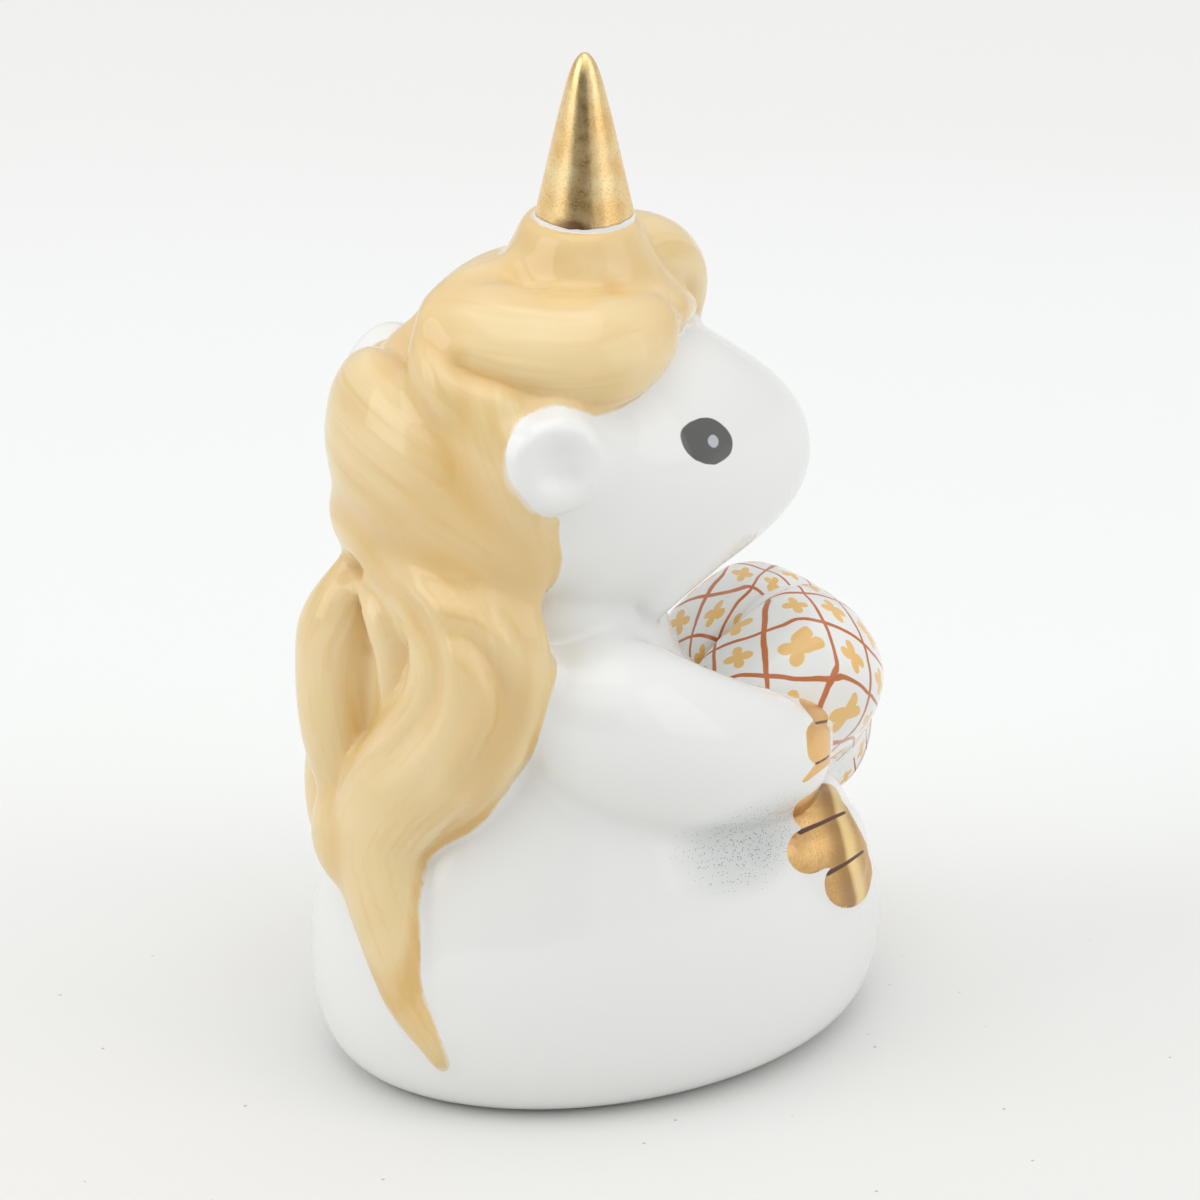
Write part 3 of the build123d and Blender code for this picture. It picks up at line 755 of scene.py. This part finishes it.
fore_lines = [
    ((-16.1, -13.1, 32.7), (-14.1, -16.1, 31.4), 0.12, 0.12),
    ((-17.9, -11.9, 29.7), (-16.6, -14.2, 29.4), 0.09, 0.09),
]
right_side = places / MM
right_side[:, 0] = -np.abs(right_side[:, 0])
facing = surface_normals(places)
facing[:, 0] = np.where(places[:, 0] > 0, -facing[:, 0], facing[:, 0])
facing = facing @ np.cross(STENCIL_RIGHT, STENCIL_UP)


def flat(points):
    points = np.atleast_2d(points)
    return np.stack([points @ STENCIL_RIGHT, points @ STENCIL_UP], axis=1)


def to_capsule(start, end, first_half, last_half):
    """How far inside a capsule each point lies, its place along it and its signed place across it."""
    first, last = flat(start)[0], flat(end)[0]
    span = last - first
    offset = flat(right_side) - first
    share = np.clip(offset @ span / (span @ span), 0, 1)
    gap = np.linalg.norm(offset - share[:, None] * span, axis=1)
    across = (offset[:, 0] * span[1] - offset[:, 1] * span[0]) / np.linalg.norm(span)
    middle = np.array(start) + share[:, None] * (np.array(end) - start)
    far = np.linalg.norm(right_side - middle, axis=1) > HOOF_REACH
    inside = first_half + (last_half - first_half) * share - gap
    inside = np.where(far | (facing < 0), np.minimum(inside, -3), inside)
    return inside, offset @ span / np.linalg.norm(span), across


gilded_field = np.full(point_count, -OUT_OF_REACH)
pads = np.zeros(point_count)
for toe in hind_toes + fore_toes:
    inside = to_capsule(*toe)[0]
    gilded_field = np.maximum(gilded_field, inside)
    pad = HOOF_PAD if toe in hind_toes else HOOF_PAD / 2
    pads = np.maximum(pads, smooth_step(-0.3, 0.9, inside) * pad)
line_places = []
for pair in zip(hind_lines, fore_lines):
    line_place = np.zeros((point_count, 3))
    line_gap = np.full(point_count, OUT_OF_REACH)
    for line in pair:
        inside, along_line, across_line = to_capsule(*line)
        nearer = -inside < line_gap
        line_gap[nearer] = -inside[nearer]
        length = np.linalg.norm(flat(line[1])[0] - flat(line[0])[0])
        beyond = np.maximum(0, np.maximum(-along_line, along_line - length))
        half = line[2] + (line[3] - line[2]) * np.clip(along_line / length, 0, 1)
        line_place[nearer] = np.stack([across_line, beyond, half], axis=1)[nearer]
        notch = HOOF_NOTCH if line in hind_lines else HOOF_NOTCH / 2
        pads -= notch * np.exp(-((np.maximum(0, -inside) / 0.6) ** 2)) * (gilded_field > -0.5)
    line_places.append(line_place)
# Where each point lies across the painted highlight streak; points out of its reach get a far value
inside, _, across_streak = to_capsule(STREAK_START, STREAK_END, 0, 0)
streak_side = np.where(inside < -STREAK_REACH, OUT_OF_REACH, -across_streak)
places = raised(places, relaxed(pads, 3) * MM)
normals = surface_normals(places)


def field_attribute(mesh, name, values):
    layer = mesh.attributes.new(name, "FLOAT", "POINT")
    layer.data.foreach_set("value", np.asarray(values, np.float32))


def vector_attribute(mesh, name, values):
    layer = mesh.attributes.new(name, "FLOAT_VECTOR", "POINT")
    layer.data.foreach_set("vector", values.astype(np.float32).ravel())


# Body: slip-cast white porcelain, fired under a clear gloss glaze that dimples a little. The eyes are black
# underglaze, each with a painted highlight as a grey dot, and fine grey specks lie on painted shade on the
# right flank.
CLEAR_GLAZE = {"Roughness": 0.45, "IOR": 1.5, "Coat Weight": 0.8, "Coat Roughness": 0.04}
DIMPLE_DEPTH = 0.4 * MM
DIMPLE_SHARE = 0.02


def glaze_over(tree, spot, shader, tone):
    """Gives the shader its colour and its clear coat's shallow dimples."""
    tree.links.new(tone, shader.inputs["Base Color"])
    waves = noise(tree, spot, 130.0, 1.0)
    bump = add(tree, "ShaderNodeBump", {"Strength": DIMPLE_SHARE, "Distance": DIMPLE_DEPTH, "Height": waves})
    tree.links.new(bump.outputs["Normal"], shader.inputs["Coat Normal"])


PORCELAIN = colour(238, 239, 237)
EYE_BLACK = colour(78, 78, 77)
EYE_HIGHLIGHT_GREY = colour(186, 190, 194)
EYE_PLACE = (13.75, -2.85, 62.05)
EYE_AXES = ((-0.21, -0.93, -0.29), (-0.42, -0.25, 0.87), (0.88, -0.26, 0.40))
EYE_HALVES = (3.3, 2.05, 5.0)
EYE_HIGHLIGHT_PLACE = (0.2, 0, 0)
EYE_HIGHLIGHT_TIMES = (4.6, 3.7, 0.5)
EYE_WOBBLE = 0.5 * MM
EYE_FADE = (1.03, 0.97)
EYE_HIGHLIGHT_FADE = (1.15, 0.85)
SPECKLE_PLACE = (-19.0, -4.0, 24.5)
SPECKLE_HALF = (7.0, 9.0, 5.0)
SPECKLE_PAINTED_SHADE = colour(200, 203, 203)
SPECKLE_GREY = colour(104, 102, 99)
SPECKLE_SHADE_FADE = (1.15, 0.3, 0.0, 0.75)
SPECK_FADE = (1.15, 0.35, 0.0, 0.85)
SPECK_STRENGTH = 0.75
SPECK_RADIUS = 0.16
SPECK_GROWTH = 0.26
porcelain, tree, shader = new_material("glazed_porcelain", CLEAR_GLAZE)
spot = object_spot(tree)


def wobble(tree, spot, scale, reach):
    way = vector(tree, "SUBTRACT", noise(tree, spot, scale, 1.0, "Color"), (0.5, 0.5, 0.5))
    return vector(tree, "SCALE", way, reach)


def one_sided(tree, spot):
    parts = axes_of(tree, spot)
    folded = {0: calc(tree, "ABSOLUTE", parts[0]), 1: parts[1], 2: parts[2]}
    return add(tree, "ShaderNodeCombineXYZ", folded).outputs[0]


def in_metres(place):
    return tuple(part * MM for part in place)


def length_of(tree, value):
    return vector(tree, "LENGTH", value, output="Value")


def reach_from(tree, spot, place, halves):
    """How far out a spot lies round an upright oval, whose rim is at 1."""
    offset = vector(tree, "SUBTRACT", spot, in_metres(place))
    return length_of(tree, vector(tree, "DIVIDE", offset, in_metres(halves)))


from_eye = one_sided(tree, vector(tree, "ADD", spot, wobble(tree, spot, 420.0, EYE_WOBBLE)))
from_eye = vector(tree, "SUBTRACT", from_eye, in_metres(EYE_PLACE))
shares = [
    dot(tree, from_eye, tuple(part / (half * MM) for part in axis))
    for axis, half in zip(EYE_AXES, EYE_HALVES)
]
in_eye = add(tree, "ShaderNodeCombineXYZ", dict(enumerate(shares))).outputs[0]
eye = fade(tree, length_of(tree, in_eye), *EYE_FADE)
# A pale grey dot in each eye is a painted highlight
in_eye_highlight = vector(tree, "MULTIPLY", vector(tree, "SUBTRACT", in_eye, EYE_HIGHLIGHT_PLACE), EYE_HIGHLIGHT_TIMES)
eye_highlight = fade(tree, length_of(tree, in_eye_highlight), *EYE_HIGHLIGHT_FADE)
tone = mix(tree, eye, PORCELAIN, mix(tree, eye_highlight, EYE_BLACK, EYE_HIGHLIGHT_GREY))
patch = reach_from(tree, spot, SPECKLE_PLACE, SPECKLE_HALF)
# A grey wash of painted shade round the specks, under the arm
tone = mix(tree, fade(tree, patch, *SPECKLE_SHADE_FADE), tone, SPECKLE_PAINTED_SHADE)
to_speck, chance = flecks(tree, spot, 4400.0)
speck_radius = plus(tree, SPECK_RADIUS, times(tree, chance, SPECK_GROWTH))
speck = calc(tree, "LESS_THAN", to_speck, speck_radius)
speck = times(tree, speck, calc(tree, "LESS_THAN", chance, fade(tree, patch, *SPECK_FADE)))
tone = mix(tree, times(tree, speck, SPECK_STRENGTH), tone, SPECKLE_GREY)
glaze_over(tree, spot, shader, tone)

skin_mesh.materials.clear()
skin_mesh.materials.append(porcelain)
skin_mesh.shade_smooth()
skin_mesh.name = "glazed_body"
body = linked("glazed_body", skin_mesh)
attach(body, "root")
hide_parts("torso", "head", "ear_right", "ear_left", "arm_right", "arm_left", "leg_right", "leg_left")

# Colour coats: a coat lies a tenth of a millimetre proud of the porcelain inside its outline and dips
# under it outside, so that its edge is the line where the two surfaces cross.
COAT_PROUD = 0.12 * MM
COAT_THICK = 0.35 * MM


def coat(name, field, material, edge, marks, proud=COAT_PROUD):
    inside = field > -1.2 * edge
    mesh = skin_mesh.copy()
    mesh.name = name
    mesh.materials.clear()
    mesh.materials.append(material)
    moved = places + normals * (proud * np.clip(field / edge, -1, 1))[:, None]
    mesh.vertices.foreach_set("co", moved.ravel())
    for key, values in marks.items():
        field_attribute(mesh, key, values)
    bm = bmesh.new()
    bm.from_mesh(mesh)
    bm.verts.ensure_lookup_table()
    outside = [bm.verts[i] for i in np.flatnonzero(~inside)]
    bmesh.ops.delete(bm, geom=outside, context="VERTS")
    bm.to_mesh(mesh)
    bm.free()
    obj = linked(name, mesh)
    wall = obj.modifiers.new("wall", "SOLIDIFY")
    wall.thickness = COAT_THICK
    wall.offset = -1
    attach(obj, "root")
    return obj


# Hair: straw-yellow underglaze, brushed along the locks of the mane, the forelocks and the tail and fired
# under the same clear glaze. It is streaked deeper along the strokes, carries painted shade in the grooves, the
# folds and along its edge, and wears thin on the very edge.
HAIR = colour(234, 209, 154)
HAIR_PALE = colour(238, 213, 162)
HAIR_DEEP = colour(224, 184, 112)
BROAD_STROKES = (0.42, 0.06, 1.0)
FINE_STROKES = (1.6, 0.10, 1.0)
PALE_SHARE = 0.9
BROAD_FADE = (0.52, 0.30, 0.0, 0.38)
FINE_FADE = (0.50, 0.30, 0.0, 0.22)
UNEVEN_FADE = (0.40, 0.60, 0.1, 0.75)
EDGE_SHADE_FADE = (1.9, 0.9)
GROOVE_SHADE_SHARE = 0.50
SHADE_AND_SPOTS_SHARE = 0.55
RAGGED_REACH = 0.8
WORN_FADE = (0.35, 0.0, 0.0, 0.6)


def painted_on(tree, name, output="Fac"):
    return add(tree, "ShaderNodeAttribute", attribute_name=name).outputs[output]


straw, tree, shader = new_material("straw_hair_glaze", CLEAR_GLAZE)
spot = object_spot(tree)
strokes_at = painted_on(tree, "comb", "Vector")
broad = noise(tree, vector(tree, "MULTIPLY", strokes_at, BROAD_STROKES), 1.0, 2.0)
fine = noise(tree, vector(tree, "MULTIPLY", strokes_at, FINE_STROKES), 1.0, 2.0)
groove = painted_on(tree, "groove")
margin = painted_on(tree, "margin")
shade_and_deeper_spots = painted_on(tree, "shade_and_deeper_spots")
clouds = noise(tree, spot, 130.0, 1.0)
open_lock = minus(tree, 1.0, groove)
tone = mix(tree, times(tree, fade(tree, clouds, 0.40, 0.66), PALE_SHARE), HAIR, HAIR_PALE)
deep = times(tree, fade(tree, broad, *BROAD_FADE), open_lock)
deep = plus(tree, deep, times(tree, fade(tree, fine, *FINE_FADE), open_lock))
# Painted shade in the grooves between the locks
deep = plus(tree, deep, times(tree, groove, GROOVE_SHADE_SHARE))
# Painted shade in the folds, with some spots painted deeper straw
deep = plus(tree, deep, times(tree, shade_and_deeper_spots, SHADE_AND_SPOTS_SHARE))
uneven = fade(tree, clouds, *UNEVEN_FADE)
# Painted shade along the coat's edge, kept off near the ears and the horn
edge_shade = times(tree, fade(tree, margin, *EDGE_SHADE_FADE), uneven, painted_on(tree, "edged"))
deep = plus(tree, deep, edge_shade)
tone = mix(tree, calc(tree, "MINIMUM", deep, 1.0), tone, HAIR_DEEP)
ragged = plus(tree, margin, times(tree, minus(tree, fine, 0.5), RAGGED_REACH))
tone = mix(tree, fade(tree, ragged, *WORN_FADE), tone, PORCELAIN)
glaze_over(tree, spot, shader, tone)

# Places painted deeper straw, added to the painted shade of the folds: place and reach in millimetres, and
# share
deeper_spots = [
    ((-8.5, 22.0, 62.0), 5.0, 0.9), ((-9.0, 21.5, 54.5), 4.0, 0.7), ((-14.0, 8.0, 69.3), 2.2, 0.8),
    ((-7.4, 3.3, 76.2), 1.2, 1.0), ((-10.0, 26.0, 12.5), 4.0, 0.8), ((-2.0, 25.0, 34.0), 4.0, 0.5),
    ((-6.4, 21.5, 70.0), 2.5, 0.5),
]
fold_shade_and_deeper_spots = fold_shade.copy()
for place, reach, share in deeper_spots:
    fold_shade_and_deeper_spots += share * np.exp(-np.sum((millimetres - place) ** 2, axis=1) / reach**2)
edged = smooth_step(2.0, 4.0, ear_gap) * smooth_step(1.5, 3.0, horn_gap)
vector_attribute(skin_mesh, "comb", comb)
marks = {"groove": crease, "margin": hair_field, "shade_and_deeper_spots": fold_shade_and_deeper_spots, "edged": edged}
for name in hair_groups:
    # The mane's coat runs on under the others, so it is thinner and ends more sharply
    overlap, edge, proud_share = (2.5, 0.5, 0.8) if name == "mane" else (0.5, 1.6, 1.2)
    others = [gap for key, gap in hair_gaps.items() if key != name]
    own = np.min(others, axis=0) - hair_gaps[name] + overlap
    field = np.minimum(hair_field, relaxed(own, 4))
    proud = COAT_PROUD * proud_share
    hair_coat = coat(name + "_coat", field, straw, edge, marks, proud)
    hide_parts(name)

# Gilded hooves: gold fired over the glaze on the toes' pads, with a painted highlight streak along each hind
# hoof and a band of painted shade beside it, and the fore hooves painted paler as painted light. Brown lines
# part the toes.
SAND_SHADE = 0.62
SAND_FADE = (0.52, 0.30, 0.0, 0.38)
SAND_DEPTH = 0.04 * MM


def gilding(name, deep, pale, rough_low, rough_high):
    material, tree, shader = new_material(name, {})
    spot = object_spot(tree)
    patches = noise(tree, spot, 420.0, 4.0)
    sand = noise(tree, spot, 4200.0, 2.0)
    tone = mix(tree, fade(tree, patches, 0.35, 0.70), deep, pale)
    shaded = (*(SAND_SHADE * part for part in deep[:3]), 1.0)
    tone = mix(tree, fade(tree, sand, *SAND_FADE), tone, shaded)
    rough = fade(tree, patches, 0.3, 0.7, rough_low, rough_high)
    tree.links.new(rough, shader.inputs["Roughness"])
    bump = add(tree, "ShaderNodeBump", {"Strength": 0.3, "Distance": SAND_DEPTH, "Height": sand})
    tree.links.new(bump.outputs["Normal"], shader.inputs["Normal"])
    return material, tree, shader, tone


HOOF_DEEP = colour(214, 172, 116)
HOOF_PALE = colour(228, 188, 130)
HOOF_PAINTED_SHADE = colour(158, 122, 80)
HOOF_PAINTED_HIGHLIGHT = colour(255, 230, 168)
FORE_HOOF_LIT_GOLD = colour(252, 206, 140)
FORE_HOOF_FOOT = 25 * MM
FORE_HOOF_FULL = 27 * MM
PAINTED_SHADE_BAND = ((-2.2, -0.8), (-0.1, -0.5))
PAINTED_SHADE_SHARE = 0.7
PAINTED_HIGHLIGHT_BAND = ((-0.5, 0.1), (1.1, 0.3))
PAINTED_HIGHLIGHT_SHARE = 0.85
LINE_BROWN = colour(92, 60, 48)
LINE_FADE = (0.05, -0.03)


def band(tree, value, rise, fall):
    return times(tree, fade(tree, value, *rise), fade(tree, value, *fall))


hoof_gold, tree, shader, tone = gilding("hoof_gold_with_painted_streak", HOOF_DEEP, HOOF_PALE, 0.38, 0.48)
# A painted highlight streak down the hind hooves, with a band of painted shade beside it
across = painted_on(tree, "streak_side")
tone = mix(tree, times(tree, band(tree, across, *PAINTED_SHADE_BAND), PAINTED_SHADE_SHARE), tone, HOOF_PAINTED_SHADE)
tone = mix(tree, times(tree, band(tree, across, *PAINTED_HIGHLIGHT_BAND), PAINTED_HIGHLIGHT_SHARE), tone, HOOF_PAINTED_HIGHLIGHT)
# The fore hooves, higher up, are painted paler gold as painted light
hoof_height = axes_of(tree, object_spot(tree))[2]
fore_hoof_light = fade(tree, hoof_height, FORE_HOOF_FOOT, FORE_HOOF_FULL, 0.0, 0.7)
tone = mix(tree, fore_hoof_light, tone, FORE_HOOF_LIT_GOLD)
on_line = 0.0
for name, line_place in zip(("line_one", "line_two"), line_places):
    vector_attribute(skin_mesh, name, line_place)
    line_at = painted_on(tree, name, "Vector")
    half = axes_of(tree, line_at)[2]
    line_gap = length_of(tree, vector(tree, "MULTIPLY", line_at, (1, 1, 0)))
    drawn = fade(tree, minus(tree, line_gap, half), *LINE_FADE)
    drawn = times(tree, drawn, calc(tree, "GREATER_THAN", half, 0.001))
    on_line = calc(tree, "MAXIMUM", on_line, drawn)
tree.links.new(mix(tree, on_line, tone, LINE_BROWN), shader.inputs["Base Color"])
tree.links.new(minus(tree, 1.0, on_line), shader.inputs["Metallic"])
HOOF_EDGE = 0.4
gilded_hooves = coat("gilded_hooves", gilded_field, hoof_gold, HOOF_EDGE, {"streak_side": streak_side})

# Horn: a plain porcelain cone with a rounded tip, turned and set into the mound with slip. It is gilded and
# burnished down to a wavy brushed edge, which fired brown.
GOLD_EDGE = 80.35
GOLD_EDGE_WAVE = 0.8 * MM
HORN_DEEP = colour(248, 208, 142)
HORN_PALE = colour(255, 231, 178)
HORN_DARK_PATCH = colour(128, 84, 52)
HORN_EDGE_BROWN = colour(140, 96, 66)
HORN_SIDES = 64
DARK_PATCH_PLACE = (-3.2, HORN_BACK + 3.4, GOLD_EDGE)
DARK_PATCH_HALVES = (2.0, 2.0, 1.1)
DARK_PATCH_FADE = (1.0, 0.55, 0.0, 0.75)
GILDED_FADE = (-0.03 * MM, 0.03 * MM)
EDGE_BROWN_FADE = (0.22 * MM, 0.05 * MM, 0.0, 0.45)
gold, tree, shader, tone = gilding("burnished_gold", HORN_DEEP, HORN_PALE, 0.25, 0.34)
spot = object_spot(tree)
height = axes_of(tree, spot)[2]
waves = minus(tree, noise(tree, spot, 330.0, 2.0), 0.5)
over_edge = plus(tree, height, times(tree, waves, GOLD_EDGE_WAVE))
over_edge = minus(tree, over_edge, GOLD_EDGE * MM)
gilded = fade(tree, over_edge, *GILDED_FADE)
# A darker brown patch lies at the foot of the gold on the side towards the camera
dark_patch = plus(tree, reach_from(tree, spot, DARK_PATCH_PLACE, DARK_PATCH_HALVES), waves)
tone = mix(tree, fade(tree, dark_patch, *DARK_PATCH_FADE), tone, HORN_DARK_PATCH)
tone = mix(tree, fade(tree, over_edge, *EDGE_BROWN_FADE), tone, HORN_EDGE_BROWN)
tone = mix(tree, gilded, PORCELAIN, tone)
tree.links.new(tone, shader.inputs["Base Color"])
tree.links.new(gilded, shader.inputs["Metallic"])

horn_profile = [
    (0, 78.0), (4.7, 78.0), (4.55, 79.6), (4.45, 80.2), (3.6, 84.0), (2.75, 88.0), (1.9, 91.6), (1.42, 93.4),
    (1.0, 94.5), (0.55, 95.15), (0.25, 95.35), (0, 95.4),
]


def smooth_piece(name, bm, material):
    """An object of a form in millimetres, with its faces outwards and smooth."""
    bmesh.ops.scale(bm, vec=(MM, MM, MM), verts=bm.verts)
    bmesh.ops.recalc_face_normals(bm, faces=bm.faces)
    made = linked(name, mesh_from(bm, name))
    made.data.materials.append(material)
    made.data.shade_smooth()
    return made


bm = bmesh.new()
turned(bm, horn_profile, (0, HORN_BACK, 0), HORN_SIDES)
horn = smooth_piece("gilded_horn", bm, gold)
soften = horn.modifiers.new("soften", "SUBSURF")
soften.levels = 2
soften.render_levels = 2
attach(horn, "root")
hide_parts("horn")

# Heart: a puffy porcelain heart, cast alone and luted between the arms. It is painted with a rust diamond
# trellis, small ochre flowers and a rust line round its rim and along its crease, under the clear glaze.
HEART_HALF_WIDTH = 10.9
HEART_HEIGHT = 23.6
HEART_HALF_THICK = 7.3
HEART_LEAN = radians(22.8)
HEART_PLACE = Vector((0, -22.3, 27.3))
HEART_CENTRE_SHARE = 0.08
HEART_PUFF = 2.29
HEART_BACK_THICK = 12.8
HEART_BACK_PUFF = 2.8


def heart_point(ball):
    """Where a point of a unit ball goes on the heart, in millimetres; the ball's Z axis runs tip to cleft."""
    turn = float(np.arctan2(ball.x, ball.z))
    face = min(1.0, float(np.hypot(ball.x, ball.z)))
    reach = face ** (2 / HEART_PUFF)
    bulge = abs(ball.y) ** (2 / (HEART_PUFF if ball.y > 0 else HEART_BACK_PUFF)) * (1 if ball.y > 0 else -1)
    side = sin(turn) ** 3
    up = (13 * cos(turn) - 5 * cos(2 * turn) - 2 * cos(3 * turn) - cos(4 * turn) + 2.55) / 28.9
    if up > 0:
        up += 0.13 * float(np.exp(-((side / 0.25) ** 2)))
    up = HEART_CENTRE_SHARE + (up - HEART_CENTRE_SHARE) * reach
    thick = HEART_HALF_THICK if bulge > 0 else HEART_BACK_THICK
    return Vector((side * reach * HEART_HALF_WIDTH, -bulge * thick, up * HEART_HEIGHT))


bm = bmesh.new()
layer = bm.verts.layers.float_vector.new("ball")
bmesh.ops.create_uvsphere(bm, u_segments=128, v_segments=96, radius=1)
for vert in bm.verts:
    ball = vert.co.normalized()
    vert[layer] = ball
    vert.co = heart_point(Vector((ball.x, -ball.y, ball.z)))
bmesh.ops.rotate(bm, verts=bm.verts, matrix=Matrix.Rotation(-HEART_LEAN, 3, "X"))
bmesh.ops.translate(bm, verts=bm.verts, vec=HEART_PLACE)
RUST = colour(194, 106, 40)
OCHRE = colour(238, 192, 112)
CELL_WIDTH = 0.54
CELL_HEIGHT = 0.60
LOBE_MIDDLE = Vector((0.80, -0.45, 0.15)).normalized()
PETAL_NOTCH = 0.13
PETAL_LENGTH = 0.18
RIM_PLACE = 0.18
CREASE_FOOT = 0.2
TRELLIS_STROKE = (0.052, 0.036)
RIM_STROKE = (0.030, 0.018)
CREASE_STROKE = (0.026, 0.014)
BRUSH_WOBBLE = 0.05
painted, tree, shader = new_material("painted_heart_glaze", CLEAR_GLAZE)
spot = object_spot(tree)
ball = painted_on(tree, "ball", "Vector")
ball = vector(tree, "NORMALIZE", vector(tree, "ADD", ball, wobble(tree, spot, 350.0, BRUSH_WOBBLE)))
parts = axes_of(tree, ball)
lobe_side = Vector((0, 0, 1)).cross(LOBE_MIDDLE).normalized()
lobe_up = LOBE_MIDDLE.cross(lobe_side)
half_ball = one_sided(tree, ball)
lobe = [dot(tree, half_ball, tuple(axis)) for axis in (LOBE_MIDDLE, lobe_side, lobe_up)]
from_middle = calc(tree, "SQRT", minus(tree, 1.0, times(tree, lobe[0], lobe[0])))
stretch = calc(tree, "DIVIDE", calc(tree, "ARCCOSINE", lobe[0]), calc(tree, "MAXIMUM", from_middle, 0.01))
turn = calc(tree, "DIVIDE", times(tree, lobe[1], stretch), CELL_WIDTH)
fall = calc(tree, "DIVIDE", times(tree, lobe[2], stretch), CELL_HEIGHT)
line_gaps = []
in_cell = []
for operation in ("ADD", "SUBTRACT"):
    share = calc(tree, "FRACT", calc(tree, operation, turn, fall))
    shifted = calc(tree, "FRACT", plus(tree, share, 0.5))
    line_gaps.append(calc(tree, "ABSOLUTE", minus(tree, shifted, 0.5)))
    in_cell.append(minus(tree, share, 0.5))
line = calc(tree, "MINIMUM", *line_gaps)
bloom = calc(tree, "SQRT", plus(tree, *(times(tree, part, part) for part in in_cell)))
petals = calc(tree, "ABSOLUTE", calc(tree, "COSINE", times(tree, calc(tree, "ARCTAN2", *in_cell), 2.0)))
petal_reach = plus(tree, PETAL_NOTCH, times(tree, petals, PETAL_LENGTH))
flower = fade(tree, minus(tree, bloom, petal_reach), 0.015, -0.015)
tone = mix(tree, flower, PORCELAIN, OCHRE)
tone = mix(tree, fade(tree, line, *TRELLIS_STROKE), tone, RUST)
rim = minus(tree, parts[1], calc(tree, "MAXIMUM", parts[2], 0.0))
rim = minus(tree, rim, RIM_PLACE)
tone = mix(tree, fade(tree, rim, 0.0, 0.02), tone, PORCELAIN)
tone = mix(tree, fade(tree, calc(tree, "ABSOLUTE", rim), *RIM_STROKE), tone, RUST)
crease_line = fade(tree, calc(tree, "ABSOLUTE", parts[0]), *CREASE_STROKE)
crease_line = times(tree, crease_line, calc(tree, "GREATER_THAN", parts[2], CREASE_FOOT))
tone = mix(tree, times(tree, crease_line, calc(tree, "LESS_THAN", rim, 0.0)), tone, RUST)
glaze_over(tree, spot, shader, tone)
heart = smooth_piece("painted_heart", bm, painted)
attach(heart, "root")
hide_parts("heart")
